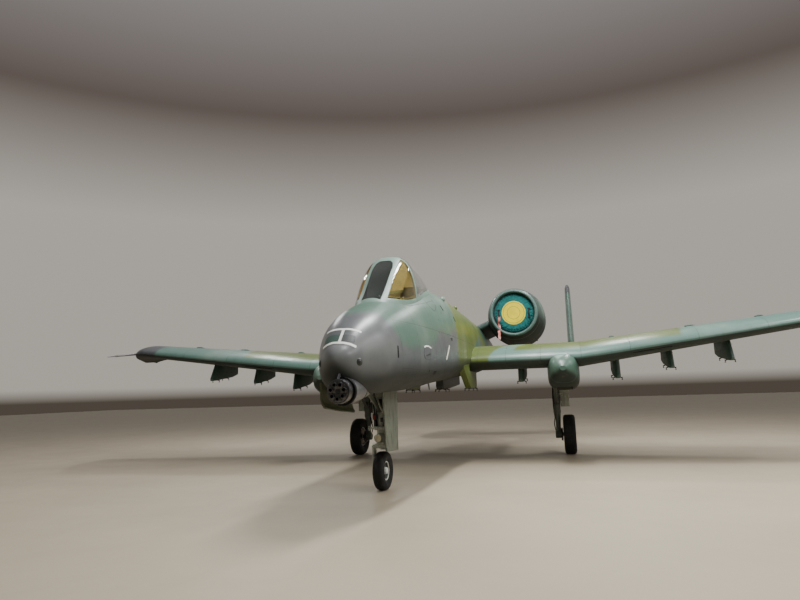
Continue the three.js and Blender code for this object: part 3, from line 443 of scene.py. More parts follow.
class Finish:
    """Builds a material's nodes around one Principled shader."""

    def __init__(self, name, roughness=0.5, **inputs):
        self.material = bpy.data.materials.new(name)
        self.material.use_nodes = True
        self.tree = self.material.node_tree
        self.tree.nodes.clear()
        self.shader = self.node("ShaderNodeBsdfPrincipled", Roughness=roughness, **inputs)
        output = self.node("ShaderNodeOutputMaterial")
        self.tree.links.new(self.shader.outputs["BSDF"], output.inputs["Surface"])
        texture = self.node("ShaderNodeTexCoord")
        self.place, self.normal = texture.outputs["Object"], texture.outputs["Normal"]

    def node(self, kind, settings=(), **inputs):
        n = self.tree.nodes.new(kind)
        for key, value in dict(settings).items():
            setattr(n, key, value)
        for key, value in inputs.items():
            self.put(n.inputs[int(key[1:]) if key[0] == "_" else key.replace("_", " ")], value)
        return n

    def put(self, socket, value):
        if isinstance(value, bpy.types.NodeSocket):
            self.tree.links.new(value, socket)
        else:
            socket.default_value = value

    def math(self, operation, *values):
        inputs = {f"_{i}": v for i, v in enumerate(values)}
        return self.node("ShaderNodeMath", {"operation": operation}, **inputs).outputs[0]

    def mul(self, a, b):
        return self.math("MULTIPLY", a, b)

    def add(self, a, b):
        return self.math("ADD", a, b)

    def sub(self, a, b):
        return self.math("SUBTRACT", a, b)

    def max(self, a, b):
        return self.math("MAXIMUM", a, b)

    def abs(self, a):
        return self.math("ABSOLUTE", a)

    def sin(self, a):
        return self.math("SINE", a)

    def axes(self, vector=None):
        split = self.node("ShaderNodeSeparateXYZ", Vector=vector or self.place)
        return split.outputs[0], split.outputs[1], split.outputs[2]

    def noise(self, scale, detail=2.0, roughness=0.5, stretch=(1, 1, 1)):
        vector = self.place
        if stretch != (1, 1, 1):
            vector = self.node("ShaderNodeMapping", Vector=vector, Scale=stretch).outputs[0]
        return self.node("ShaderNodeTexNoise", Vector=vector, Scale=scale, Detail=detail,
                         Roughness=roughness).outputs["Fac"]

    def step(self, value, low, high):
        """0 below low, 1 above high, smooth between."""
        return self.node("ShaderNodeMapRange", {"interpolation_type": "SMOOTHSTEP"}, Value=value,
                         From_Min=low, From_Max=high).outputs[0]

    def mix(self, factor, a, b):
        n = self.node("ShaderNodeMix", {"data_type": "RGBA"})
        self.put(n.inputs[0], factor)
        self.put(n.inputs[6], a)
        self.put(n.inputs[7], b)
        return n.outputs[2]

    def blotch(self, base, color, value, low, high, share):
        """The base with a share of another colour where value is high."""
        return self.mix(self.mul(self.step(value, low, high), share), base, color)

    def curve(self, value, points):
        """A value read from straight lines between (value, result) points."""
        xs, ys = [p[0] for p in points], [p[1] for p in points]
        low, top = min(ys), max(ys)
        place = self.node("ShaderNodeMapRange", Value=value, From_Min=xs[0], From_Max=xs[-1])
        ramp = self.node("ShaderNodeValToRGB", Fac=place.outputs[0])
        stops = ramp.color_ramp.elements
        while len(stops) < len(points):
            stops.new(0.5)
        for stop, x, y in zip(stops, xs, ys):
            stop.position = (x - xs[0]) / (xs[-1] - xs[0])
        for stop, x, y in zip(stops, xs, ys):
            grey = (y - low) / (top - low)
            stop.color = (grey, grey, grey, 1)
        return self.node("ShaderNodeMapRange", Value=ramp.outputs[0], To_Min=low,
                         To_Max=top).outputs[0]

    def color(self, value):
        self.put(self.shader.inputs["Base Color"], value)
        return self

    def rough(self, value):
        self.put(self.shader.inputs["Roughness"], value)
        return self

    def bump(self, *layers):
        """Layers of (height, strength, distance in metres)."""
        normal = None
        for height, strength, distance in layers:
            n = self.node("ShaderNodeBump", Height=height, Strength=strength, Distance=distance)
            if normal:
                self.put(n.inputs["Normal"], normal)
            normal = n.outputs[0]
        self.put(self.shader.inputs["Normal"], normal)
        return self

    def spread(self, factor, low, high):
        """A range of values that follows a 0 to 1 factor."""
        return self.node("ShaderNodeMapRange", Value=factor, To_Min=low, To_Max=high).outputs[0]


def shade(color, gain, lift=0.0):
    return tuple(min(1, c * gain + lift) for c in color[:3]) + (1,)


def lines_at(f, value, places, half=0.0045):
    """1 on thin lines where value is one of the places."""
    nearest = None
    for p in places:
        off = f.abs(f.sub(value, p))
        nearest = off if nearest is None else f.math("MINIMUM", nearest, off)
    return f.sub(1.0, f.step(nearest, half * 0.6, half * 1.5))


def weathered(f, base, lines=None, streak=0.10, grime=0.18, roughness=(0.27, 0.44)):
    """Fading, dirt, streaks, panel lines and painted shade on downward faces over a paint colour,
    with its gloss and bumps.
    """
    fade = f.noise(0.8, 3, 0.6)
    base = f.blotch(base, rgb(176, 178, 166), fade, 0.45, 0.75, 0.16)
    dirt = f.noise(5.5, 6, 0.7)
    base = f.blotch(base, GRIME, dirt, 0.5, 0.8, grime)
    run = f.noise(4.0, 3, 0.6, stretch=(4.0, 9.0, 0.7))
    base = f.blotch(base, GRIME, run, 0.55, 0.72, streak)
    height = f.noise(26, 2)
    # Painted shade: faces that look down darken towards near-black green, and turn rougher
    under = f.step(f.mul(f.axes(f.normal)[2], -1.0), -0.10, 0.50)
    base = f.mix(f.mul(under, 0.90), base, rgb(14, 24, 21))
    layers = [(height, 0.06, 0.004)]
    if lines is not None:
        base = f.mix(f.mul(lines, 0.62), base, DARK_LINE)
        layers.append((f.sub(1.0, lines), 0.5, 0.003))
    matt = f.add(f.spread(dirt, *roughness), f.mul(under, 0.35))
    return f.color(base).rough(matt).bump(*layers)


def soft_below(f, value, limit, blur=0.05):
    """1 where value is under limit, 0 over it, with a sprayed edge."""
    return f.sub(1.0, f.step(f.sub(value, limit), -blur, blur))


def wobble(f, scale, size):
    return f.mul(f.sub(f.noise(scale, 2), 0.5), size)


def fuselage_paint():
    """Charcoal nose and lower sides, sage cockpit area, an olive band, then mixed patches aft."""
    f = Finish("fuselage_camouflage", Specular_IOR_Level=0.5)
    _, y, z = f.axes()
    s = f.add(y, STATION_ZERO)
    s_soft = f.add(s, wobble(f, 0.9, 0.5))
    z_soft = f.add(z, wobble(f, 1.1, 0.45))
    limit = f.curve(s_soft, [(0.0, 3.6), (0.62, 3.3), (0.80, 2.60), (1.06, 2.44), (1.26, 2.18),
                             (2.10, 2.20), (2.80, 2.30), (3.15, 2.50), (4.20, 2.64), (4.60, 2.70)])
    charcoal_nose = soft_below(f, z_soft, limit, 0.09)
    front = f.curve(z, [(1.50, 4.62), (1.97, 4.55), (2.48, 4.45), (2.88, 4.62), (3.19, 4.82),
                        (3.60, 5.10)])
    rear = f.curve(z, [(1.50, 5.80), (2.17, 6.27), (2.55, 6.73), (3.14, 8.90), (3.60, 9.60)])
    s_edge = f.add(s, wobble(f, 1.7, 0.30))
    past_front = f.step(f.sub(s_edge, front), -0.04, 0.04)
    past_rear = f.step(f.sub(s_edge, rear), -0.06, 0.06)
    aft = f.noise(0.42, 1.5, 0.4)
    aft_mix = f.mix(f.step(aft, 0.50, 0.515), SAGE, CHARCOAL)
    aft_mix = f.mix(f.step(f.noise(0.36, 1.5, 0.4, (1.4, 1, 1)), 0.565, 0.58), aft_mix, OLIVE)
    base = f.mix(charcoal_nose, SAGE, CHARCOAL)
    base = f.mix(past_front, base, OLIVE)
    base = f.mix(past_rear, base, aft_mix)
    rings = lines_at(f, s, (1.22, 1.90, 2.76, 3.42, 4.35, 5.02, 5.98, 7.4, 8.6, 11.2, 12.6, 14.0))
    long_lines = lines_at(f, z, (1.86, 2.52))
    behind_nose = f.step(s, 1.20, 1.22)
    lines = f.max(rings, f.mul(long_lines, behind_nose))
    return weathered(f, base, lines).material


def wing_paint():
    """Sage leading edge and underside, an olive root and olive and charcoal patches on top."""
    f = Finish("wing_camouflage", Specular_IOR_Level=0.5)
    x, y, _ = f.axes()
    side = f.abs(x)
    s = f.add(y, STATION_ZERO)
    upward = f.axes(f.normal)[2]
    side_soft = f.add(side, wobble(f, 0.9, 0.9))
    root = soft_below(f, f.add(side, f.mul(f.sub(s, 6.0), -0.5)), 1.10, 0.03)
    on_top = f.mul(f.step(upward, 0.45, 0.62), f.step(s, 6.10, 6.25))
    inboard = f.mul(f.step(side_soft, 1.75, 1.85), soft_below(f, side_soft, 4.9))
    olive = f.max(root, f.mul(on_top, inboard))
    patch = f.noise(0.40, 1.5, 0.4)
    dark = f.mul(f.step(patch, 0.50, 0.515), f.mul(on_top, f.step(s, 6.75, 6.95)))
    tip = f.max(f.step(side_soft, 8.05, 8.15), soft_below(f, f.add(x, wobble(f, 0.9, 0.9)), -7.25))
    base = f.mix(f.max(dark, tip), rgb(84, 112, 103), CHARCOAL)
    base = f.mix(olive, base, OLIVE)
    ribs = lines_at(f, side, (0.86, 1.45, 2.16, 2.96, 3.9, 5.17, 6.4, 7.69))
    spars = lines_at(f, f.sub(s, f.mul(side, 0.05)), (6.42, 7.35))
    return weathered(f, base, f.max(ribs, spars), streak=0.16).material


def patch_paint(name, first, second, third, line_axis, line_places, scale=0.42, cut=(0.52, 0.6)):
    """Patches of three colours, with panel lines along one axis."""
    f = Finish(name, Specular_IOR_Level=0.5)
    _, y, z = f.axes()
    s = f.add(y, STATION_ZERO)
    base = f.mix(f.step(f.noise(scale, 1.5, 0.4), cut[0], cut[0] + 0.015), first, second)
    other = f.noise(scale * 0.8, 1.5, 0.4, (1.5, 1, 1))
    base = f.mix(f.step(other, cut[1], cut[1] + 0.015), base, third)
    lines = lines_at(f, {"s": s, "z": z}[line_axis], line_places)
    return weathered(f, base, lines).material


def worn_paint(name, base, edge=0.25, roughness=(0.35, 0.6), metallic=0.0, scale=9.0, bump=0.12):
    """Plain paint with blotches, dirt and rubbed spots."""
    f = Finish(name, Metallic=metallic)
    blotch = f.noise(scale, 5, 0.65)
    mixed = f.blotch(base, shade(base, 1.5, 0.02), blotch, 0.5, 0.75, edge)
    dirt = f.noise(scale * 2.7, 5, 0.7)
    mixed = f.blotch(mixed, shade(base, 0.45), dirt, 0.48, 0.78, edge * 1.6)
    f.color(mixed).rough(f.spread(dirt, *roughness))
    return f.bump((f.noise(60, 3, 0.6), bump, 0.002)).material


def streaked_paint(name, base):
    """Old paint with dark runs from top to bottom."""
    f = Finish(name)
    run = f.noise(9.0, 6, 0.75, stretch=(2.2, 2.2, 0.35))
    spots = f.noise(16.0, 6, 0.75)
    mixed = f.blotch(base, rgb(52, 56, 50), run, 0.48, 0.62, 0.75)
    mixed = f.blotch(mixed, shade(base, 1.45, 0.02), spots, 0.52, 0.66, 0.5)
    f.color(mixed).rough(f.spread(spots, 0.35, 0.65))
    return f.bump((spots, 0.3, 0.003)).material


def brushed_metal(name, base, roughness=(0.22, 0.45)):
    f = Finish(name, Metallic=1.0)
    grain = f.noise(30, 4, 0.6, (1, 40, 1))
    stain = f.noise(7, 5, 0.7)
    f.color(f.blotch(base, shade(base, 0.4), stain, 0.45, 0.8, 0.6))
    return f.rough(f.spread(grain, *roughness)).bump((grain, 0.08, 0.001)).material


def rubber(name, base, dust):
    f = Finish(name, Specular_IOR_Level=0.3)
    grey = f.noise(12, 6, 0.7)
    f.color(f.blotch(base, dust, grey, 0.45, 0.85, 0.5))
    return f.rough(f.spread(grey, 0.62, 0.9)).bump((f.noise(140, 3), 0.2, 0.002)).material


def glass(name, tint, roughness=0.02):
    """Clear plastic with a faint haze and smears."""
    f = Finish(name, Transmission_Weight=1.0, IOR=1.42)
    haze = f.noise(6, 4, 0.6)
    f.color(f.mix(f.step(haze, 0.4, 0.7), tint, shade(tint, 0.90)))
    return f.rough(f.spread(f.step(haze, 0.5, 0.8), roughness, roughness + 0.04)).material


def woven(f, count):
    """Crossing threads, with count as their angle in radians for each metre."""
    x, _, z = f.axes()
    return f.mul(f.sin(f.mul(x, count)), f.sin(f.mul(z, count)))


def cloth(name, base, second, weave=900.0, sheen=0.4, amount=0.5):
    """Woven nylon: two threads crossing, faded and creased in patches."""
    f = Finish(name, Sheen_Weight=sheen, Sheen_Roughness=0.4, Specular_IOR_Level=0.3)
    threads = woven(f, weave)
    worn = f.noise(5, 5, 0.65)
    f.color(f.blotch(base, second, worn, 0.35, 0.7, amount))
    return f.rough(f.spread(worn, 0.65, 0.9)).bump(
        (f.noise(16, 4, 0.6), 0.35, 0.01), (threads, 0.25, 0.0008)).material


BODY_PAINT = fuselage_paint()
WING_PAINT = wing_paint()
NACELLE_PAINT = patch_paint("nacelle_camouflage", rgb(56, 78, 70), rgb(64, 76, 70),
    rgb(76, 104, 94), "s", (9.05, 9.62, 10.3, 11.0, 11.7), scale=0.7, cut=(0.47, 0.6))
TAIL_PAINT = patch_paint("tail_camouflage", rgb(80, 104, 94), CHARCOAL, OLIVE, "z",
    (3.3, 3.95, 4.6), cut=(0.5, 0.58))
POD_PAINT = patch_paint("pod_camouflage", rgb(118, 144, 134), SAGE, SAGE, "s", (6.33, 7.3, 8.4))
PYLON_PAINT = worn_paint("pylon_paint", rgb(56, 78, 70), 0.2)
OLIVE_PAINT = worn_paint("olive_paint", OLIVE, 0.2)
CHARCOAL_PAINT = worn_paint("charcoal_paint", CHARCOAL, 0.2)
SAGE_PAINT = worn_paint("sage_frame_paint", rgb(98, 122, 110), 0.2)
GEAR_PAINT = worn_paint("gear_enamel", rgb(158, 164, 152), 0.62, (0.3, 0.6), scale=15.0, bump=0.2)
# A darker, worn copy of the gear enamel: wear on the main legs, painted shade on the brace and door
# arms up in the nose bay
GEAR_WORN_AND_SHADED = worn_paint("gear_worn_and_shaded_enamel", rgb(76, 82, 74), 0.6, (0.35, 0.65), scale=17.0, bump=0.2)
BELLY_PAINT = worn_paint("belly_dark_paint", rgb(38, 42, 40), 0.3)
DOOR_PAINT = streaked_paint("door_enamel", rgb(104, 111, 100))
DARK_OLIVE_PAINT = worn_paint("door_olive", rgb(66, 70, 50), 0.3)
PANEL_PAINT = worn_paint("dark_panel", rgb(62, 65, 66), 0.2)
DARK_PAINT = worn_paint("dark_fittings", rgb(34, 35, 34), 0.3)
BAY_PAINT = worn_paint("bay_primer", rgb(58, 62, 52), 0.5, (0.5, 0.8))
COCKPIT_PAINT = worn_paint("cockpit_grey", rgb(62, 66, 64), 0.3, (0.5, 0.75))
BARREL_METAL = brushed_metal("gun_steel", rgb(96, 96, 98))
FAIRING_METAL = worn_paint("fairing_metal", rgb(112, 112, 114), 0.35, (0.28, 0.5), metallic=0.6)
BURNT_METAL = brushed_metal("exhaust_metal", rgb(104, 92, 78), (0.3, 0.55))
TYRE_RUBBER = rubber("tyre_rubber", rgb(34, 34, 34), rgb(80, 78, 74))
SEAL_RUBBER = rubber("seal_rubber", rgb(14, 14, 14), rgb(34, 34, 32))
RIM_PAINT = worn_paint("rim_enamel", rgb(196, 198, 190), 0.3)
# Painted highlight: near-white paint stands for the bright reflection of the lamp's mirror
REFLECTOR_PAINTED_HIGHLIGHT = worn_paint("lamp_reflector_painted_highlight", rgb(255, 252, 244), 0.05)
# Painted shade for the recessed web of the rims
RIM_SHADE = worn_paint("rim_shade", rgb(74, 76, 72), 0.4)
WHITE_PAINT = worn_paint("white_marking", rgb(224, 226, 220), 0.15)
RED_PAINT = worn_paint("red_fitting", rgb(150, 30, 26), 0.2)
STRIP_PAINT = worn_paint("formation_strip", rgb(206, 208, 186), 0.1)
CLEAR_GLASS = glass("canopy_acrylic", rgb(238, 242, 240))
SMOKED_GLASS = glass("front_pane_glass", rgb(80, 88, 84))
AMBER_GLASS = glass("amber_pane_glass", rgb(254, 226, 134))
LENS_GLASS = glass("lamp_lens", rgb(250, 246, 230))
SEAT_CLOTH = cloth("seat_cloth", rgb(62, 68, 50), rgb(84, 88, 66))
COVER_CLOTH = cloth("cover_nylon", rgb(12, 88, 86), rgb(30, 116, 116), amount=0.7)
PATCH_CLOTH = cloth("patch_yellow", rgb(255, 240, 0), rgb(244, 222, 4), sheen=0.0, amount=0.4)
WEBBING = cloth("black_webbing", rgb(22, 22, 24), rgb(44, 44, 46), weave=1400)
STREAMER_CLOTH = cloth("streamer_red", rgb(206, 66, 60), rgb(232, 190, 178), amount=0.9)
# Material slot names by first finish; piece() looks the slot up here unless one is named, and keeps
# nothing of it
SLOT_OF = {finish.name: slot for slot, finishes in {
    "charcoal_paint": (BODY_PAINT, CHARCOAL_PAINT, NACELLE_PAINT, PANEL_PAINT),
    "teal_paint": (WING_PAINT, POD_PAINT, PYLON_PAINT),
    "olive_paint": (OLIVE_PAINT, DARK_OLIVE_PAINT),
    "sage_paint": (SAGE_PAINT,),
    "tail_paint": (TAIL_PAINT,),
    "gear_paint": (GEAR_PAINT, GEAR_WORN_AND_SHADED, DOOR_PAINT, BAY_PAINT),
    "dark_metal": (DARK_PAINT, BURNT_METAL, BELLY_PAINT, COCKPIT_PAINT, RED_PAINT),
    "gun_metal": (BARREL_METAL, FAIRING_METAL),
    "rim_paint": (RIM_PAINT, WHITE_PAINT, STRIP_PAINT, REFLECTOR_PAINTED_HIGHLIGHT),
    "tyre_rubber": (TYRE_RUBBER, SEAL_RUBBER),
    "clear_glass": (CLEAR_GLASS, SMOKED_GLASS, LENS_GLASS),
    "amber_glass": (AMBER_GLASS,),
    "seat_fabric": (SEAT_CLOTH, WEBBING, PATCH_CLOTH),
    "cover_cloth": (COVER_CLOTH, STREAMER_CLOTH),
}.items() for finish in finishes}


# ---------------------------------------------------------------- fuselage
def fuselage_ring(y, grow=0.0, sides=BODY_SIDES):
    row = FUSELAGE.row(y)
    if y < DOME["end"]:
        end = FUSELAGE.row(DOME["end"])
        k = max((y - DOME["tip"]) / (DOME["end"] - DOME["tip"]), 0.0) ** DOME["power"]
        mid = end["mid"] + (DOME["end"] - y) * 0.15
        row.update(half=end["half"] * k + 1, mid=mid, top=mid + (end["top"] - end["mid"]) * k + 1,
                   bottom=mid - (end["mid"] - end["bottom"]) * k - 1)
    return oval(sides, y, row["half"] + grow, row["mid"], row["top"] + grow, row["bottom"] - grow,
                row["n_top"], row["n_bottom"])


def stations(first, last, step):
    return list(np.linspace(first, last, max(2, int(round((last - first) / step)) + 1)))


def fuselage(first, last, grow=0.0, step=90, sides=BODY_SIDES):
    places = stations(first, last, step)
    if first < DOME["end"]:
        near = DOME["tip"] + (DOME["end"] - DOME["tip"]) * np.linspace(0, 1, 14) ** 2
        places = list(near) + stations(DOME["end"] + 45, last, step * 0.6)
    return loft([fuselage_ring(y, grow, sides) for y in places])


nose_blank = fuselage(DOME["tip"], NOSE_BREAK - GAP)
skin = tree_of(nose_blank)
mid_blank = fuselage(NOSE_BREAK, TAIL_BREAK - GAP, step=200)
tail_body = fuselage(TAIL_BREAK, TAIL_END, step=150)
aft_skin = tree_of(mid_blank)
sleeve = fuselage(2600, TAIL_END, GAP, step=200)
fuselage_over = {grow: fuselage(DOME["tip"], 5900, grow) for grow in (GAP, 20, 45)}


def bubble(inset=0.0, sides=96):
    rings = []
    for y in stations(1400, 5150, 55):
        row = BUBBLE.row(y)
        rings.append(oval(sides, y, row["half"] - inset, row["mid"], row["top"] - inset,
                          row["mid"] - 320, row["n"], 3))
    return loft(rings)


bubble_blank = bubble()
cockpit_box = plate([
    (COCKPIT["front"], COCKPIT["floor"] + 260), (COCKPIT["front"] + 260, COCKPIT["floor"]),
    (COCKPIT["back"], COCKPIT["floor"]), (COCKPIT["back"] + 60, BIG), (COCKPIT["front"], BIG),
], -COCKPIT["half"], COCKPIT["half"])
well = plus(bubble(46), box(-COCKPIT["half"], COCKPIT["half"], COCKPIT["front"], COCKPIT["back"],
                            COCKPIT["floor"], COCKPIT["sill"]),
            box(-REAR_WELL["half"], REAR_WELL["half"], REAR_WELL["front"], COCKPIT["back"],
                COCKPIT["floor"], REAR_WELL["top"]))
opening = common(cockpit_box, well)
nose_bay = box(BAY["x0"], BAY["x1"], BAY["y0"], BAY["y1"], 1200, BAY["top"])
gun_sleeve = plus(bar((GUN["x"], -50, GUN["z"]), (GUN["x"], 198, GUN["z"]), 155, 64),
                  bar((GUN["x"], 190, GUN["z"]), (GUN["x"], 600.3, GUN["z"]), 120, 64))
nose_mesh = largest(minus(nose_blank, gun_sleeve, nose_bay, opening))
for p in nose_mesh.polygons:
    c = p.center
    in_bay = BAY["x0"] - 1 < c.x < BAY["x1"] + 1 and BAY["y0"] - 1 < c.y < BAY["y1"] + 1 \
        and 1560 < c.z < BAY["top"] + 1
    skin_gap = skin.find_nearest(c)[3]
    if skin_gap > 3:
        p.material_index = 1 if in_bay else 2
piece("fuselage_nose", nose_mesh, [BODY_PAINT, BAY_PAINT, COCKPIT_PAINT],
      replaces=["forward_fuselage"], smooth=28)
piece("fuselage_middle", mid_blank, BODY_PAINT, slot="olive_paint", replaces=["mid_fuselage"],
    smooth=28)


def on_skin(x, y, z, tree=skin):
    """The nearest point of the skin and the way out of it."""
    place, normal, _, _ = tree.find_nearest(Vector((x, y, z)))
    if normal.dot(Vector((x, 0, z - 2300 if y > 600 else z - 1900))) < 0:
        normal = -normal
    return np.array(place), np.array(normal)


def strip(path, width, lift=2.5, steps=10):
    """A thin raised strip that follows the skin through rough points."""
    points = [np.array(p, float) for p in path]
    dense = [a + (b - a) * k / steps for a, b in zip(points, points[1:]) for k in range(steps)]
    dense.append(points[-1])
    rows = []
    for i, p in enumerate(dense):
        q, n = on_skin(*p)
        across = unit(np.cross(n, heading(dense, i)))
        w = width / 2 * (0.7 if i in (0, len(dense) - 1) else 1.0)
        sides = [on_skin(*(q + across * w * k)) for k in (-1, -0.33, 0.33, 1)]
        rows.append([b - n * 2 for b, n in sides] + [b + n * lift for b, n in sides[::-1]])
    return loft(rows)


def patch(centre, along, across, lift=3.0, power=6.0, steps=6):
    """A thin raised plate with rounded corners that lies on the skin."""
    centre, u, v = (np.array(a, float) for a in (centre, along, across))
    edge = [(np.sign(c) * abs(c) ** (2 / power), np.sign(s) * abs(s) ** (2 / power))
            for c, s in zip(*turns(40))]
    rings = []
    for scale, height in [(0.02, -2), *[((k + 1) / steps, -2) for k in range(steps)],
                          (1.0, lift * 0.6), (0.985, lift),
                          *[(k / steps, lift) for k in range(steps - 1, 0, -1)], (0.02, lift)]:
        spots = [on_skin(*(centre + u * a * scale / 2 + v * b * scale / 2)) for a, b in edge]
        rings.append([q + n * height for q, n in spots])
    return loft(rings)


def bump_on(x, y, z, radius, height, tree=skin, length=1.0):
    """A small streamlined bump on the skin, longer along the station by length."""
    q, n = on_skin(x, y, z, tree)
    side = unit(np.cross(n, (0, 1, 0)))
    fore = np.cross(side, n)
    c, s = turns(24)
    rings = []
    for t in np.linspace(0, 1, 9):
        r = radius * math.cos(t * math.pi / 2 * 0.98)
        h = height * math.sin(t * math.pi / 2)
        rings.append(q + n * (h - 3) + r * (np.outer(c, side) + length * np.outer(s, fore)))
    return loft(rings)


# White alignment bars ahead of the windscreen
BAR_WIDTH = 34
bar_paths = [
    [(-250, 548, 2317), (-120, 470, 2345), (0, 440, 2352), (120, 455, 2345), (228, 505, 2300)],
    [(-212, 340, 2105), (-150, 300, 2140), (-60, 275, 2163), (21, 265, 2165), (110, 278, 2155),
     (180, 305, 2130), (216, 335, 2105)],
    [(19, 275, 2175), (19, 340, 2250), (19, 430, 2340)],
]
for i, (path, lift) in enumerate(zip(bar_paths, (2.5, 2.5, 3.2))):
    piece(f"nose_bar_{i}", strip(path, BAR_WIDTH, lift), WHITE_PAINT)

for word, path, paint in (
        ("left", [(36, 322, 2234), (120, 338, 2228), (196, 372, 2208)], PANEL_PAINT),
        ("right", [(2, 322, 2234), (-110, 352, 2222), (-205, 400, 2194)], PYLON_PAINT)):
    piece(f"receptacle_door_{word}", strip(path, 118, 1.3), paint)

# Slots, panels, bumps and studs on the nose and spine, at port; the other side mirrors them
SIDE_STRIPS = (  # name, path, width, lift, finish
    ("step_panel_arch",
     [(650, 2120, 2200), (655, 2210, 2222), (660, 2350, 2226), (665, 2470, 2205)],
     20, 5.0, WHITE_PAINT),
    ("step_panel_catch", [(655, 2170, 2075), (660, 2300, 2095), (665, 2440, 2120)],
     14, 6.0, DARK_PAINT),
    ("formation_strip", [(715, 3424, 2070), (717, 3560, 2180), (719, 3730, 2324)],
     34, 4.0, STRIP_PAINT),
    ("spine_slit_front", [(590, 3990, 2990), (540, 3940, 3080)], 42, 3.0, SEAL_RUBBER),
    ("spine_slit_rear", [(665, 4700, 2850), (640, 4660, 2950)], 36, 3.0, SEAL_RUBBER),
)
VENTS = ((2700, 1790), (2700, 1815), (2700, 1840), (3900, 2440), (3900, 2465))
STUDS = ((2428, 1855, 26, 14), (4430, 2240, 16, 6), (4430, 2010, 16, 6), (3300, 2750, 14, 5),
         (3120, 2500, 14, 5), (3700, 2930, 14, 6))
SEAMS = (  # path, width: thin proud strips below the canopy
    ([(215, 1622, 2839), (438, 2154, 2837), (470, 2600, 2925), (485, 2975, 2993),
      (470, 3606, 3120)], 9),
    ([(450, 3055, 3058), (560, 3110, 2940), (600, 3300, 2900), (560, 3560, 3020),
      (448, 3606, 3150)], 8),
)


def on_side(side, places):
    return [(side * x, y, z) for x, y, z in places]


for word, side in SIDES:
    piece(f"nose_slot_{word}", patch((side * 530, 1088, 2077), (0, 14, 165), (0, 34, 0), 2.5),
          SEAL_RUBBER)
    piece(f"step_panel_{word}", patch((side * 660, 2290, 2115), (0, 20, 185), (0, 380, 0), power=4),
          CHARCOAL_PAINT)
    for name, path, width, lift, finish in SIDE_STRIPS:
        piece(f"{name}_{word}", strip(on_side(side, path), width, lift), finish)
    lamp_rims = [bump_on(side * 257, 336, 1922, radius, height) for radius, height in (
        (46, 16), (30, 24))]
    piece(f"nose_lamp_rim_{word}", merged(*lamp_rims), DARK_PAINT)
    vents = [strip(on_side(side, [(690, y, z), (690, y + 150, z + 6)]), 12, 3.5) for y, z in VENTS]
    piece(f"side_vent_{word}", merged(*vents), SEAL_RUBBER)
    studs = [bump_on(side * 650, *row) for row in STUDS]
    piece(f"side_stud_{word}", merged(*studs), DARK_PAINT)
piece("spine_bump_front", bump_on(430, 4650, 3290, 55, 60, length=1.5), SAGE_PAINT)
piece("spine_bump_rear", bump_on(430, 6000, 3290, 48, 55, aft_skin, 1.6), OLIVE_PAINT)
seams = [strip(on_side(side, path), width, 1.2) for _, side in SIDES for path, width in SEAMS]
piece("canopy_seams", merged(*seams), DARK_PAINT)


BLADE_SECTION = ((0, -0.5), (0.5, -0.2), (0.5, 0.2), (0, 0.5), (-0.5, 0.2), (-0.5, -0.2))
BLADE_SINK = 6


def blade(x, y, z, height, length, thick, down=False, tree=skin):
    """A swept blade on the skin, with its root sunk a little way into it."""
    root = on_skin(x, y, z, tree)[0][2]
    sign = -1 if down else 1
    rows = []
    for t in (0, 0.3, 0.6, 0.85, 1.0):
        chord = length * (1 - 0.45 * t)
        w = thick * (1 - 0.5 * t) * (0.3 if t == 1 else 1)
        level = root + sign * (height * t - BLADE_SINK + BLADE_SINK * t)
        rows.append([(x + a * w, y + length * 0.5 * t + b * chord, level)
                     for a, b in BLADE_SECTION])
    return loft(rows)


# Blade aerials over and under the fuselage
for name, *row in (("spine", 0, 5250, 3470, 150, 190, 22),
                   ("belly", 180, 4300, 1650, 130, 170, 20, True),
                   ("aft", 0, 8200, 3420, 190, 240, 24, False, aft_skin)):
    piece(f"aerial_{name}", blade(*row), CHARCOAL_PAINT)

# Fairing round the gun, a black ring of painted shade in the recess between fairing and shroud, and
# the small vertical blade over it
fairing_rows = [(205, 158, 0), (260, 162, 2), (420, 160, 10), (620, 152, 26), (850, 136, 48),
                (1050, 116, 70), (1250, 90, 90)]
fairing = minus(loft([circle(64, GUN["x"], y, GUN["z"] + dz, r) for y, r, dz in fairing_rows]),
                gun_sleeve, nose_bay)
piece("gun_fairing", largest(fairing), FAIRING_METAL, smooth=30)
piece("gun_recess_shadow_ring", spun_duct((GUN["x"], 176, GUN["z"]), (0, 1, 0), [
    (0, 151), (0, 166), (10, 172), (34, 172), (40, 160), (40, 151)], 64), SEAL_RUBBER)
piece("gun_blade", loft([
    [(GUN["x"] - 36 + w, y0, z) for w, y0 in ((-6, a), (6, a), (6, b), (-6, b))]
    for z, a, b in ((1716, 110, 300), (1752, 130, 300), (1790, 172, 300))]), FAIRING_METAL)
piece("gun_fairing_band", spun_duct((GUN["x"], 640, GUN["z"] + 27), (0, 1, 0.08), [
    (0, 140), (0, 153.5), (12, 153), (12, 140)], 64), DARK_PAINT)


# ---------------------------------------------------------------- gun muzzle
BARRELS, BARREL_CIRCLE, BOLT_CIRCLE = 7, 84, 112


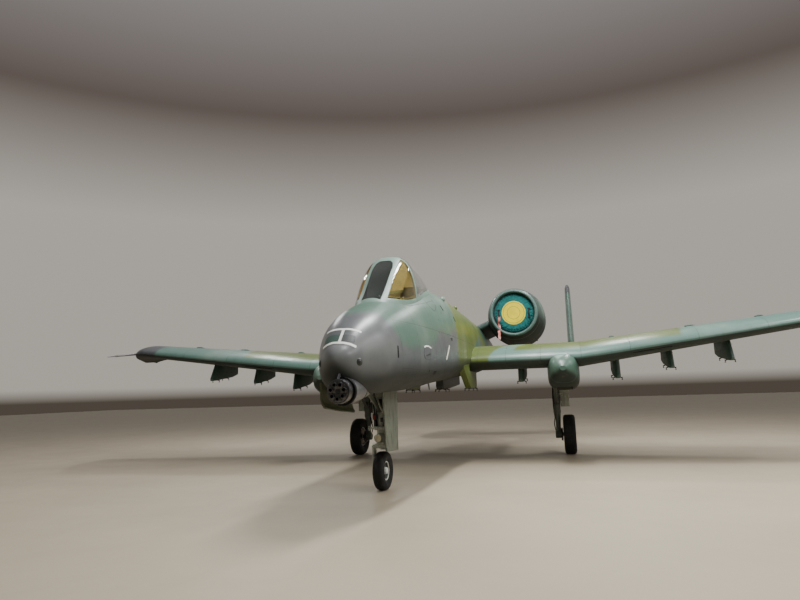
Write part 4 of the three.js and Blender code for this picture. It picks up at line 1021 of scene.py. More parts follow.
def gun_parts():
    """Barrels, shroud, neck and bolts of the gun's muzzle."""
    x, z = GUN["x"], GUN["z"]
    at = lambda dx, dz, y: (x + dx, y, z + dz)
    shroud = spun_duct(at(0, 0, 40), (0, 1, 0), [
        (0, 126), (0, 137), (6, 143), (18, 145), (150, 145), (150, 126)], 72)
    face = spun(at(0, 0, 30), (0, 1, 0), [(0, 118), (4, 124), (40, 124), (44, 60)], 72)
    neck = spun(at(0, 0, 184), (0, 1, 0), [(0, 100), (2, 118), (416, 118)], 48)
    barrels, bores = [], []
    for i in range(BARRELS):
        angle = 2 * math.pi * (i + 0.25) / BARRELS
        dx, dz = BARREL_CIRCLE * math.cos(angle), BARREL_CIRCLE * math.sin(angle)
        barrels.append(spun(at(dx, dz, 2), (0, 1, 0), [
            (0, 27), (3, 30), (26, 31), (28, 36), (60, 37), (170, 37)], 28))
        bores.append(bar(at(dx, dz, -10), at(dx, dz, 150), 19, 24))
    body = minus(plus(face, *barrels), *bores)
    hub = spun(at(0, 0, 12), (0, 1, 0), [(0, 16), (3, 20), (14, 20), (14, 34), (30, 36)], 6)
    bolts = []
    for i in range(BARRELS):
        angle = 2 * math.pi * (i + 0.75) / BARRELS
        head = at(BOLT_CIRCLE * math.cos(angle), BOLT_CIRCLE * math.sin(angle), 22)
        bolts.append(spun(head, (0, 1, 0), [(0, 6), (1, 7), (10, 7)], 6))
    return body, shroud, neck, merged(hub, *bolts)


gun_body, gun_shroud, gun_neck, gun_hub = gun_parts()
piece("gun_barrels", gun_body, BARREL_METAL, replaces=["gun_muzzle"])
piece("gun_shroud", gun_shroud, BARREL_METAL)
piece("gun_neck", gun_neck, DARK_PAINT)
piece("gun_bolts", gun_hub, DARK_PAINT)

# ---------------------------------------------------------------- windscreen and canopy
bubble_skin = minus(bubble_blank, fuselage_over[GAP])
frame_shell = minus(bubble_skin, bubble(FRAME_THICK))
glass_shell = minus(bubble_skin, bubble(GLASS_THICK))


def bow_drum(reach):
    y, z = CANOPY_HINGE
    return bar((-900, y, z), (900, y, z), y - BOW + reach, 256)


def zone(y0, y1, z0=2300, z1=BIG, half=900):
    return box(-half, half, y0, y1, z0, z1)


windscreen_zone = minus(zone(1300, 3000), bow_drum(BOW_GAP))
canopy_zone = common(zone(2300, CANOPY_HINGE[0] - 12), bow_drum(-BOW_GAP))
SILL, BASE, POST = 45, 20, 222


def front_pane(grow):
    rows = [(1590 - grow, 146), (2230, 162), (2320, 140), (2365 + grow, 90)]
    return minus(loft([[(-h - grow, y, 2600), (h + grow, y, 2600), (h + grow, y, BIG),
                        (-h - grow, y, BIG)] for y, h in rows]), fuselage_over[BASE])


def side_pane(grow):
    return minus(zone(1640 - grow, 3000, 2700, 3640 + grow), fuselage_over[SILL],
                 zone(1300, 3000, half=POST - grow), bow_drum(BOW_BAND - grow))


def canopy_pane(grow):
    return common(minus(zone(2300, 4880 + grow), fuselage_over[SILL]),
                  bow_drum(grow - BOW_BAND))


piece("windscreen_surround", largest(minus(common(frame_shell, windscreen_zone), front_pane(0),
                                           side_pane(0))),
      SAGE_PAINT, replaces=["windscreen_frame"], smooth=40)
piece("canopy_surround", largest(minus(common(frame_shell, canopy_zone), canopy_pane(0))),
      SAGE_PAINT, "canopy", ["canopy_frame"], smooth=40)
piece("front_glass", largest(common(glass_shell, windscreen_zone, front_pane(-GAP))), SMOKED_GLASS,
    replaces=["windscreen_front_pane"], smooth=40)
side_glass = common(glass_shell, windscreen_zone, side_pane(-GAP))
for word, side in SIDES:
    half = common(side_glass, box(min(side * 900, 0), max(side * 900, 0), 1300, 3000, 2300, BIG))
    piece(f"side_glass_{word}", largest(half), AMBER_GLASS,
          replaces=[f"windscreen_side_pane_{word}"], smooth=40)
piece("canopy_bubble", largest(common(glass_shell, canopy_zone, canopy_pane(-GAP))), CLEAR_GLASS,
    "canopy", ["canopy_glass"], smooth=40)

# ---------------------------------------------------------------- cockpit
seat_side = [(3350, 2300), (3350, 2560), (3880, 2520), (4040, 3180), (4180, 3180), (4160, 2300)]
seat_frame = plus(
    plate(seat_side, -225, -190), plate(seat_side, 190, 225),
    box(-191, 191, 3345, 3900, 2300, 2500),
    plate([(3960, 2500), (4060, 3180), (4175, 3180), (4155, 2300), (3960, 2300)], -191, 191),
    box(-200, 200, 3450, 4150, COCKPIT["floor"] + GAP, 2310))
piece("seat_shell", bevelled(seat_frame, 6), DARK_PAINT, replaces=["ejection_seat"])
head_box = plate([(4000, 3120), (4010, 3470), (4150, 3490), (4180, 3120)], -140, 140, 14, 3)
piece("seat_head_box", head_box, SEAT_CLOTH)
rails = merged(*[bar((x, 4190, 2320), (x, 4235, 3420), 22, 16, chamfer=4) for x in (150, -150)])
piece("seat_rails", rails, DARK_PAINT)


def pad(name, half, first, last, crown, thick=60, across=20):
    """A crowned cushion between two (y, z) places; its middle swells by crown."""
    x0, x1 = -half, half
    (y0, z0), (y1, z1) = first, last
    d = np.array((0, y1 - y0, z1 - z0), float)
    n = unit((0, -d[2], d[1]))
    rows = []
    for t in np.linspace(0, 1, 20):
        edge = (1 - (2 * t - 1) ** 8) ** 0.5
        top, low = [], []
        for k in range(across + 1):
            u = 2 * k / across - 1
            rim = max((1 - abs(u) ** 8), 0) ** 0.5 * max(edge, 0.05)
            swell = crown * (1 - u * u) * (1 - (2 * t - 1) ** 2)
            seam = 6 * math.exp(-((u * 3) % 2 - 1) ** 2 * 60)
            base = np.array((x0 + (x1 - x0) * (u + 1) / 2, y0, z0)) + d * t
            top.append(base + n * (thick * rim + swell - seam * rim))
            low.append(base)
        rows.append(top + low[::-1])
    obj = piece(name, loft(rows), SEAT_CLOTH, smooth=60)


pad("seat_cushion", 195, (3340, 2545), (3890, 2545), 30)
pad("seat_back_cushion", 185, (3925, 2620), (4050, 3150), 24)
BELT = [(95, 4020, 3160), (90, 3950, 3120), (80, 3868, 2960), (60, 3820, 2780), (70, 3760, 2650),
        (120, 3640, 2640)]
for i, (_, side) in enumerate(SIDES):
    rows = [[(x - 22, y - 4, z), (x + 22, y - 4, z), (x + 22, y + 1, z + 3), (x - 22, y + 1, z + 3)]
            for x, y, z in on_side(side, BELT)]
    piece(f"seat_belt_{i}", loft(rows), WEBBING)
handle = tube([(-60, 3330, 2580), (-60, 3318, 2640), (0, 3312, 2660), (60, 3318, 2640),
    (60, 3330, 2580)], 9)
piece("seat_handle", handle, PATCH_CLOTH)

coaming = plate([(1985, 2800), (2150, 2895), (2520, 2900), (2500, 2860), (2180, 2700)], -300, 300,
    12, 3)
panel = plate([(2350, 2870), (2500, 2870), (2500, 2420), (2350, 2420)], -280, 280, 8)
piece("instrument_coaming", coaming, SEAL_RUBBER, slot="dark_metal", replaces=["instrument_panel"])
piece("instrument_board", panel, COCKPIT_PAINT)
piece("instrument_post", rounded_box(-90, 90, 2360, 2440, COCKPIT["floor"] + GAP, 2430),
    COCKPIT_PAINT)
dials, faces, needles = [], [], []
for row, z in enumerate((2800, 2690, 2580, 2480)):
    for col in range(5):
        x = -200 + 100 * col
        r = 38 if (row + col) % 3 else 44
        dial_rim = [(0, r - 7), (0, r), (9, r), (11, r - 3), (11, r - 7)]
        dials.append(spun_duct((x, 2499, z), (0, 1, 0), dial_rim, 28))
        faces.append(bar((x, 2498, z), (x, 2503, z), r - 6, 28))
        a = 0.7 + row * 1.3 + col * 0.9
        needle_end = (x + (r - 14) * math.cos(a), 2506, z + (r - 14) * math.sin(a))
        needles.append(bar((x, 2506, z), needle_end, 1.6, 6))
piece("dial_rims", merged(*dials), DARK_PAINT)
piece("dial_faces", merged(*faces), SEAL_RUBBER, slot="dark_metal")
piece("dial_needles", merged(*needles), WHITE_PAINT)
sight = merged(rounded_box(-80, 80, 2230, 2330, 2885, 2960, 10),
               *[bar((x, 2300, 2950), (x, 2345, 3075), 6) for x in (-62, 62)])
piece("sight_body", sight, DARK_PAINT)
piece("sight_glass", plate([(2296, 2955), (2300, 2955), (2340, 3078), (2336, 3078)], -58, 58),
    CLEAR_GLASS)
for word, sx in SIDES:
    console = rounded_box(*sorted((sx * 245, sx * 345)), 2530, 3900, 2262, 2560, 10)
    knobs = merged(*[bar((sx * 295, y, 2558), (sx * 295, y, 2592), 14, 12, chamfer=3)
                     for y in range(2620, 3800, 130)])
    piece(f"side_console_{word}", console, COCKPIT_PAINT)
    piece(f"console_knobs_{word}", knobs, SEAL_RUBBER, slot="dark_metal")
stick = plus(bar((0, 3000, 2262), (0, 2980, 2600), 14, 16, chamfer=3),
             bar((0, 2980, 2590), (0, 2960, 2700), 22, 16, 26, 5))
piece("control_stick", stick, SEAL_RUBBER, slot="dark_metal")


# ---------------------------------------------------------------- wing
def section_at(x, extended=False):
    along = (x - WING["kink"]) / (WING["tip"] - WING["kink"])
    t = along if extended else min(max(along, 0), 1)
    outboard = x - WING["kink"] if extended else max(0, x - WING["kink"])
    mix = lambda a, b: WING[a] + (WING[b] - WING[a]) * t
    return {"x": x, "le": mix("le", "tip_le"), "z": WING["z"] + outboard * WING["dihedral"],
            "chord": mix("root_chord", "tip_chord"), "thick": mix("root_thick", "tip_thick")}


CAMBER, CAMBER_AT = 0.05, 0.7


def camber(u):
    p = CAMBER_AT
    if u < p:
        return CAMBER / p ** 2 * (2 * p * u - u * u)
    return CAMBER / (1 - p) ** 2 * (1 - 2 * p + 2 * p * u - u * u)


def half_thick(u, thick):
    return 5 * thick * (0.2969 * math.sqrt(u) - 0.126 * u - 0.3516 * u * u + 0.2843 * u ** 3
                        - 0.1015 * u ** 4) + 0.0015


CHORD_STEPS = cosine_steps(30)


def skin_point_of(s, u, side, shift=0.0):
    return (s["x"], s["le"] + u * s["chord"],
            s["z"] + s["chord"] * (camber(u) + side * half_thick(u, s["thick"])) + shift)


def airfoil(s):
    return ([skin_point_of(s, u, 1) for u in CHORD_STEPS[::-1]]
            + [skin_point_of(s, u, -1) for u in CHORD_STEPS])


def hinge_of(s):
    u = WING["hinge"]
    return (s["x"], s["le"] + u * s["chord"], s["z"] + s["chord"] * camber(u),
            s["chord"] * half_thick(u, s["thick"]))


def hinge_point(x):
    return np.array(hinge_of(section_at(x))[:3])


HINGE_LINE = unit(hinge_point(WING["tip"]) - hinge_point(WING["kink"]))
HINGE_AFT = unit(np.array((0, 1, 0)) - HINGE_LINE * HINGE_LINE[1])
HINGE_UP = np.cross(HINGE_LINE, HINGE_AFT)


def around_hinge(x, radius, angle):
    r = radius(hinge_of(section_at(x))[3])
    return hinge_point(x) + r * (HINGE_AFT * math.cos(angle) + HINGE_UP * math.sin(angle))


def hinge_slab(x0, x1):
    return loft([[around_hinge(x, lambda r: BIG, k * math.pi / 4) for k in (1, 3, 5, 7)]
                 for x in (x0, x1)])


OVERRUN, END_GAP, CLEAR, SPLIT, LIP = 150, 10, 8, 2.5, 3


def surface_ring(s, part):
    _, hy, hz, radius = hinge_of(s)
    steps = np.linspace(WING["hinge"] + 0.075, 1, 12)

    def arc(r, first, last, count):
        return [(s["x"], hy + r * math.cos(a), hz + r * math.sin(a))
                for a in np.linspace(first, last, count)]

    upper = [skin_point_of(s, u, 1) for u in steps[::-1]]
    lower = [skin_point_of(s, u, -1) for u in steps]
    middle = lambda side: [skin_point_of(s, u, 0, side * SPLIT) for u in steps]
    nose = radius * 0.97
    if part == "whole":
        return upper + arc(nose, math.pi * 0.5, math.pi * 1.5, 19) + lower
    if part == "upper":
        return upper + arc(nose, math.pi * 0.5, math.pi * 2, 27) + middle(1)
    return middle(-1)[::-1] + arc(radius + LIP, -0.03, -math.pi * 0.36, 13) + lower


def control_surface(x0, x1, square, part="whole"):
    if not square:
        return loft([surface_ring(section_at(x), part) for x in (x0, x1)])
    ends = [x0 - OVERRUN, x1 + OVERRUN]
    return common(loft([surface_ring(section_at(x, True), part) for x in ends]), hinge_slab(x0, x1))


def surface_cut(x0, x1, square):
    over = OVERRUN if square else END_GAP
    rows = []
    for x in (x0 - over, x1 + over):
        s = section_at(x, square)
        _, hy, hz, radius = hinge_of(s)
        front, back = hy - radius - CLEAR, s["le"] + s["chord"] + 200
        rows.append([(x, front, hz - 600), (x, front, hz + 600), (x, back, hz + 600),
            (x, back, hz - 600)])
    cut = loft(rows)
    return common(cut, hinge_slab(x0 - END_GAP, x1 + END_GAP)) if square else cut


PIN, PIN_ROOM = 20.0, 20.9


def end_pins(a, b, first=45, second=45, root=15, radius=PIN):
    """Hinge pins that reach past both ends of a line and a little way into it."""
    a, b = np.array(a, float), np.array(b, float)
    along = unit(b - a)
    return plus(bar(a + along * root, a - along * first, radius, 16),
                bar(b - along * root, b + along * second, radius, 16))


RIB_REACH, LUG_INSET, LUG_WIDTH, LUG_CLEAR = 24, 2, 32, 6
SURFACES = {
    "inner_flap": {"ends": (860, 2240), "square": False, "pins": {}},
    "outer_flap": {"ends": (2970, 5140), "square": True, "pins": {"second": RIB_REACH}},
    "aileron": {"ends": (5200, 7640), "square": True,
                "pins": {"first": RIB_REACH, "root": LUG_WIDTH + 20}},
}
pins, rooms, cuts = {}, {}, {}
for name, row in SURFACES.items():
    ends = [hinge_point(x) for x in row["ends"]]
    pins[name] = end_pins(*ends, **row["pins"])
    rooms[name] = end_pins(*ends, **row["pins"], radius=PIN_ROOM)
    cuts[name] = plus(surface_cut(*row["ends"], row["square"]), rooms[name])
for name in ("inner_flap", "outer_flap"):
    row = SURFACES[name]
    flap = plus(control_surface(*row["ends"], row["square"]), pins[name])
    pair(name + "_skin", flap, WING_PAINT, name + "_{}", [name + "_{}"], smooth=24)


def lug_ring(x):
    low = -math.pi * 0.36
    ring = [around_hinge(x, lambda r: r * 0.97, a) for a in np.linspace(0, 2 * math.pi + low, 24)]
    return ring + [around_hinge(x, lambda r: r + 2 * LIP, low * t) for t in (1, 0.66, 0.33)]


def room_ring(x):
    return [around_hinge(x, lambda r: r + 1.5 * LIP, 2 * math.pi * i / 32) for i in range(32)]


x0, x1 = SURFACES["aileron"]["ends"]
lug_spans = [(x0 + LUG_INSET, x0 + LUG_INSET + LUG_WIDTH),
             (x1 - LUG_INSET - LUG_WIDTH, x1 - LUG_INSET)]
lugs = [loft([lug_ring(a), lug_ring(b)]) for a, b in lug_spans]
gaps = [loft([room_ring(a - 2 * LUG_CLEAR), room_ring(b + LUG_CLEAR)]) for a, b in lug_spans]
upper = plus(minus(control_surface(x0, x1, True, "upper"), *gaps), pins["aileron"])
lower = minus(plus(control_surface(x0, x1, True, "lower"), *lugs), rooms["aileron"])
pair("aileron_top", upper, WING_PAINT, "aileron_{}", ["aileron_upper_{}"], smooth=24)
pair("aileron_bottom", lower, WING_PAINT, "speedbrake_{}", ["aileron_lower_{}"], smooth=24)

JOIN = 2600
inner = minus(loft([airfoil(section_at(x)) for x in (300, 900, 1500, 2100, JOIN - GAP)]),
              cuts["inner_flap"], sleeve)
pair("inner_wing_skin", largest(inner), WING_PAINT, replaces=["inner_wing_{}"], smooth=24)
kink = WING["kink"]
outer_places = [JOIN, kink - 60, kink, kink + 60, 3800, 4700, 5600, 6500, 7300, WING["tip"]]
tip_rows = []
base = section_at(WING["tip"])
tip_table = Table(("dz", "d_le", "scale"), WING_TIP)
for dx in (40, 90, 150, 225, 300, 375, 450, 525, 600, 675, 750, 815, 880, 940, 1000, 1040, 1065):
    d_le = tip_table.at("d_le", dx)
    tip_rows.append(airfoil({"x": base["x"] + dx, "le": base["le"] + d_le,
        "z": base["z"] + tip_table.at("dz", dx), "chord": base["chord"] - 1.1 * d_le,
        "thick": base["thick"] * tip_table.at("scale", dx)}))
outer = loft([airfoil(section_at(x)) for x in outer_places] + tip_rows)
outer = largest(minus(outer, cuts["outer_flap"], cuts["aileron"]))
pair("outer_wing_skin", outer, WING_PAINT, replaces=["outer_wing_{}"], smooth=24)
wing_blank = loft([airfoil(section_at(x)) for x in [300, 1500, *outer_places]])

# Position lamps at the wing tips and a probe on the starboard tip
lamp = spun((8560, 7280, 2800), (0.9, -0.5, 0.1), [(-10, 26), (10, 30), (40, 26), (58, 14),
    (64, 2)], 24)
piece("tip_lamp_left", lamp, glass("lamp_red", rgb(200, 40, 36)), slot="clear_glass")
piece("tip_lamp_right", mirrored(lamp), glass("lamp_green", rgb(40, 170, 96)), slot="clear_glass")
probe = merged(*[spun((-8020, 5455, 2615), (0, 1070, 125), rows, 20) for rows in (
    [(0, 5), (20, 11), (230, 12), (250, 19), (760, 24), (1070, 26)],
    [(300, 22), (304, 26), (330, 26), (334, 22)])])
piece("tip_probe", probe, FAIRING_METAL)


def on_wing(x, u, side):
    return np.array(skin_point_of(section_at(x), u, side))


# Painted shade: a thin black tube under the leading edge stands for a line of shadow there
shadow_line_path = [on_wing(x, 0.02, -1) for x in np.linspace(3950, 4680, 6)]
pair("leading_edge_shadow_line", tube(shadow_line_path, 9, 10), SEAL_RUBBER)
bumps = []
for x, reach in ((5190, 110), (6480, 80), (3640, 60)):
    p = on_wing(x, 0.34, 1)
    bumps.append(loft([oval(20, p[1] + dy, w, p[2], p[2] + h, p[2] - 20, 2, 2, x) for dy, w, h in (
        (-120, reach * 0.2, 4), (-80, reach * 0.8, 22), (0, reach, 30), (110, reach * 0.7, 20),
        (190, 8, 2))]))
pair("wing_top_fairings", merged(*bumps), PYLON_PAINT)
fence = plate([(6330, 2190), (6230, 2260), (6330, 2330), (6700, 2370), (6700, 2280)], 2247, 2253, 2)
pair("leading_edge_fence", fence, PYLON_PAINT)

# ---------------------------------------------------------------- pylons
def pylon_outline(x, foot, foot_z, setback, back):
    z = section_at(x)["z"] + 150
    return [(foot, foot_z + 50), (foot + 50, foot_z), (back - 260, foot_z + 110),
        (back, foot_z + 190), (back, z), (foot + setback, z)]


def slim_plate(outline, x0, x1, nose=150, sharp=0.25, bevel=10):
    """A plate whose front end narrows in plan, as a pylon's leading edge does."""
    mid, half = (x0 + x1) / 2, (x1 - x0) / 2
    top = max(outline, key=lambda p: (p[1], -p[0]))
    low = min(outline, key=lambda p: p[0] + p[1] * 0.01)
    slope = (top[0] - low[0]) / (top[1] - low[1])
    cutters = []
    for side in (1, -1):
        rings = []
        for z in (low[1] - 400, top[1] + 50):
            y = low[0] + (z - low[1]) * slope
            rings.append([(mid + side * dx, y + dy, z) for dx, dy in (
                (half * sharp, -5), (half + 1, nose), (half + 40, nose), (half + 40, -5))])
        cutters.append(loft(rings))
    return bevelled(minus(plate(outline, x0, x1), *cutters), bevel, 2, 50)


def sway_brace(x, y, z, reach=95):
    """Two splayed arms with screw pads, on a lug under the pylon."""
    parts = [rounded_box(x - 40, x + 40, y - 26, y + 26, z - 6, z + 30, 6)]
    for side in (1, -1):
        at = lambda dx, dz: (x + side * dx, y, z + dz)
        parts += [tube([at(20, 14), at(60, 4), at(reach, -16)], 11, 10),
                  bar(at(reach, 8), at(reach - 4, -42), 7, 10),
                  bar(at(reach - 4, -40), at(reach - 6, -50), 17, 14, chamfer=2)]
    return merged(*parts)


for i, (x, foot, foot_z, setback, back) in enumerate(PYLONS):
    shape = minus(slim_plate(pylon_outline(x, foot, foot_z, setback, back),
                             x - PYLON_HALF, x + PYLON_HALF), wing_blank)
    pair(f"wing_pylon_{i}", largest(shape), PYLON_PAINT,
         replaces=[] if i else ["inner_pylon_{}"], smooth=30)
    braces = [sway_brace(x, foot + 50 + (back - 310 - foot) * t, foot_z + 110 * t - 4)
              for t in (0.22, 0.72)]
    pair(f"sway_braces_{i}", merged(*braces), DARK_PAINT)
    screws = [bar((x + sx * (PYLON_HALF - 3), y, z), (x + sx * (PYLON_HALF + 3), y, z), 9, 10)
              for sx in (1, -1) for y in range(foot + 260, back - 60, 190)
              for z in (foot_z + 230, foot_z + 330)]
    pair(f"pylon_screws_{i}", merged(*screws), DARK_PAINT)

side_outline = [(5180, 2120), (5240, 1960), (5990, 1592), (6800, 1592), (6850, 1700), (6850, 1950),
                (5950, 1950), (5850, 2120)]
side_pylon = largest(minus(plate(side_outline, 585, 708, 12, 3), sleeve))
pair("side_pylon", side_pylon, OLIVE_PAINT, replaces=["belly_pylon_{}"], smooth=40)
pair("side_pylon_braces", merged(sway_brace(646, 6120, 1588), sway_brace(646, 6640, 1588)),
    DARK_PAINT)
centre_outline = [(6150, 2000), (6150, 1640), (6210, 1592), (6700, 1592), (8240, 1700),
    (8240, 2000)]
piece("centre_pylon", largest(minus(plate(centre_outline, -80, 80, 12, 3), sleeve)), BELLY_PAINT,
    replaces=["belly_pylon_centre"], smooth=40)
piece("centre_pylon_braces", merged(sway_brace(0, 6260, 1588, 120), sway_brace(0, 6620, 1588, 120)),
    DARK_PAINT)


# ---------------------------------------------------------------- gear pods
def pod_ring(y, sides=56):
    row = POD.row(y)
    return oval(sides, y, row["half"], row["mid"], row["top"], row["bottom"], row["n"], row["n"],
        POD_X)


pod_places = list(5700 + 110 * np.linspace(0, 1, 9) ** 1.6) + stations(5860, 9720, 80)
pod_blank = loft([pod_ring(y) for y in pod_places])
pod = largest(minus(pod_blank, wing_blank, box(POD_X - 170, POD_X + 170, 6330, 7300, 1300, 1880)))
pod_tree = tree_of(pod_blank)
for p in pod.polygons:
    x, y, z = p.center
    in_well = abs(x - POD_X) <= 171 and 6329 <= y <= 7301 and 1500 <= z <= 1881
    if in_well and pod_tree.find_nearest(p.center)[3] >= 2:
        p.material_index = 1
pair("gear_pod_skin", pod, [POD_PAINT, BAY_PAINT], replaces=["gear_pod_{}"], smooth=30)


def pod_spot(x, z, radius, height):
    hit = pod_tree.ray_cast(Vector((x, 5000, z)), Vector((0, 1, 0)))
    place, normal = np.array(hit[0]), np.array(hit[1])
    return bar(place + normal * -4, place + normal * height, radius, 20, chamfer=height * 0.3)


pair("pod_spots", merged(pod_spot(POD_X - 8, 1760, 26, 3), pod_spot(POD_X + 70, 1795, 13, 3)),
    DARK_PAINT)
centre = np.array((POD_X, 0, 1900))
band_rings = []
for dy, grow in ((0, -4), (3, 2), (9, 2), (12, -4)):
    ring = pod_ring(5965 + dy)
    out = ring - centre
    out[:, 1] = 0
    out /= np.linalg.norm(out, axis=1)[:, None]
    band_rings.append(ring + out * grow)
pair("pod_nose_band", minus(loft(band_rings), wing_blank), PYLON_PAINT)
well_frame = merged(*[box(POD_X - 168, POD_X + 168, y, y + 14, 1700, 1878)
                      for y in (6500, 6720, 6940, 7150)])
pair("wheel_well_ribs", well_frame, BAY_PAINT)

# ---------------------------------------------------------------- engines
NACELLE_SIDES = 96


def nacelle_ring(name, y, grow=0.0):
    return circle(NACELLE_SIDES, ENGINE_X, y, NACELLE.at("z", y), NACELLE.at(name, y) + grow)


outside = [nacelle_ring("outer", y) for y in [8830, 8855, 8890, 8940, *stations(9030, 12200, 110)]]
inside = [nacelle_ring("inner", y) for y in [*stations(12200, 9030, 110), 8960, 8900, 8855]]
lip = [circle(NACELLE_SIDES, ENGINE_X, 8832 - 22 * math.sin(a), 3490, 563 - 28 * math.cos(a))
       for a in np.linspace(0.15, math.pi - 0.15, 9)]
nacelle = loft(outside + inside + lip, loop=True)
nacelle_blank = loft([nacelle_ring("outer", y, 0.5) for y in stations(8830, 12200, 60)])
for p in nacelle.polygons:
    c = p.center
    r = math.hypot(c.x - ENGINE_X, c.z - NACELLE.at("z", c.y))
    if c.y < 8862:
        p.material_index = 1
    elif r < NACELLE.at("inner", c.y) + 4:
        p.material_index = 2
LIP_PAINT = worn_paint("nacelle_lip", rgb(84, 108, 103), 0.3, (0.3, 0.5))
pair("nacelle_skin", nacelle, [NACELLE_PAINT, LIP_PAINT, CHARCOAL_PAINT],
     replaces=["nacelle_{}"], smooth=40)


def engine_rings(rows, sides=72):
    return [circle(sides, ENGINE_X, y, z, r) for y, z, r in rows]


core = loft(engine_rings([(9080, 3474, 4), (9100, 3473, 40), (9150, 3471, 86), (9220, 3469, 130),
    (9290, 3466, 165), (9300, 3466, 559), (9560, 3455, 559), (9640, 3453, 520), (9750, 3452, 450),
    (10300, 3480, 424), (11000, 3515, 402), (11500, 3540, 380), (12000, 3590, 330),
    (12460, 3638, 278), (12480, 3640, 275), (12480, 3640, 262), (12380, 3628, 258),
    (12378, 3628, 182), (12485, 3640, 176), (12560, 3647, 130), (12620, 3650, 70),
    (12652, 3651, 26), (12660, 3651, 4)]))
pair("engine_core", core, BURNT_METAL, replaces=["engine_{}"], smooth=30)
VANE = ((11060, 0), (11120, 5), (11260, 4), (11340, 0), (11260, -4), (11120, -5))
vanes = []
for i in range(24):
    a = 2 * math.pi * i / 24
    c, s = math.cos(a), math.sin(a)
    vanes.append(loft([[(ENGINE_X + c * r - s * w, y, 3500 + s * r + c * w) for y, w in VANE]
                       for r in (398, 530)]))
pair("engine_vanes", merged(*vanes), BURNT_METAL)
bands = [loft([nacelle_ring("outer", at, grow) for at, grow in (
    (y, -6), (y, 2.0), (y + w, 2.0), (y + w, -6))], loop=True)
         for y, w in ((9052, 14), (9618, 10), (10300, 10), (11000, 10), (11700, 10))]
latches = []
for y in (9800, 10200, 10700, 11200):
    for a in (-1.2, -0.9):
        r = NACELLE.at("outer", y)
        x, z = ENGINE_X + r * math.cos(a), NACELLE.at("z", y) + r * math.sin(a)
        latches.append(rounded_box(x - 24, x + 24, y - 40, y + 40, z - 8, z + 8, 3))
pair("nacelle_bands", merged(*bands), CHARCOAL_PAINT, smooth=40)
pair("nacelle_latches", merged(*latches), DARK_PAINT)


def strut_ring(x, z, front, back, thick, count=22):
    steps = cosine_steps(count)
    ring = []
    for side, places in ((1, steps), (-1, steps[::-1][1:-1])):
        for u in places:
            shape = (math.sin(math.pi * min(u ** 0.55, 1))) ** 0.8 if 0 < u < 1 else 0
            ring.append((x, front + u * (back - front), z + side * thick * shape))
    return ring


strut_places = [(250, 3080, 9300, 12300, 190), (560, 3204, 9300, 12238, 183),
    (840, 3316, 9300, 12170, 177), (1100, 3420, 9300, 12100, 170)]
strut = largest(minus(loft([strut_ring(*row) for row in strut_places]), nacelle_blank, sleeve))
pair("engine_strut_skin", strut, NACELLE_PAINT, replaces=["engine_strut_{}"], smooth=50)

# ---------------------------------------------------------------- tail
TAIL_STEPS = cosine_steps(18)


def tail_ring(place, thick, chord):
    rows = [(u, max(half_thick(u, thick) * chord, 4)) for u in TAIL_STEPS]
    return [place(u, t) for u, t in rows[::-1]] + [place(u, -t) for u, t in rows]


tail_chord = TAILPLANE["te"] - TAILPLANE["le"]
tail_z = TAILPLANE["z"]


def tail_ring_at(x):
    return tail_ring(lambda u, t: (x, TAILPLANE["le"] + u * tail_chord, tail_z + t),
                     TAILPLANE["thick"], tail_chord)


half = TAILPLANE["half"]
tail_blank = loft([tail_ring_at(x) for x in (-half, -1400, 0, 1400, half)])
tail_hinge = TAILPLANE["le"] + TAILPLANE["hinge"] * tail_chord
tail_half = half_thick(TAILPLANE["hinge"], TAILPLANE["thick"]) * tail_chord
elevator_ends = (380, 2380)
tail_cuts = []
for side in (1, -1):
    a, b = sorted((side * (elevator_ends[0] - 10), side * (elevator_ends[1] + 10)))
    tail_cuts.append(box(a, b, tail_hinge - tail_half - CLEAR, TAILPLANE["te"] + 300,
                         tail_z - 300, tail_z + 300))
    tail_cuts.append(end_pins((side * elevator_ends[0], tail_hinge, tail_z),
                              (side * elevator_ends[1], tail_hinge, tail_z), radius=PIN_ROOM))
piece("tailplane_skin", largest(minus(tail_blank, *tail_cuts)), TAIL_PAINT, replaces=["tailplane"],
      smooth=30)
piece("fuselage_tail", largest(minus(tail_body, tail_blank)), BODY_PAINT, slot="tail_paint",
      replaces=["tail_fuselage"], smooth=28)


def tail_flap(rows):
    """Surface with a round nose about its hinge; rows are (hinge, radius, tip, place)."""
    rings = []
    for hinge, radius, tip, place in rows:
        nose = [place(hinge + radius * math.cos(a), radius * math.sin(a))
                for a in np.linspace(math.pi * 0.5, math.pi * 1.5, 15)]
        rings.append(nose + [place(tip, -5), place(tip, 5)])
    return loft(rings)


elevator_rows = [(tail_hinge, tail_half * 0.97, TAILPLANE["te"],
                  lambda y, t, x=x: (x, y, tail_z + t)) for x in elevator_ends]
elevator_pins = end_pins(*[(x, tail_hinge, tail_z) for x in elevator_ends])
elevator = plus(tail_flap(elevator_rows), elevator_pins)
pair("elevator_skin", elevator, TAIL_PAINT, "elevator_{}", ["elevator_{}"], smooth=30)


def fin_at(z):
    columns = list(zip(*FIN))
    return [float(np.interp(z, columns[0], columns[k])) for k in (1, 2, 3)]


def fin_ring(z):
    le, te, w = fin_at(z)
    return tail_ring(lambda u, t: (FIN_X + t, le + u * (te - le), z), w / (te - le) / 0.5, te - le)


def rudder_row(z):
    le, te, w = fin_at(z)
    chord = te - le
    radius = half_thick(RUDDER["hinge"], w / chord / 0.5) * chord
    return (le + RUDDER["hinge"] * chord, radius * 0.97, te, lambda y, t, z=z: (FIN_X + t, y, z))


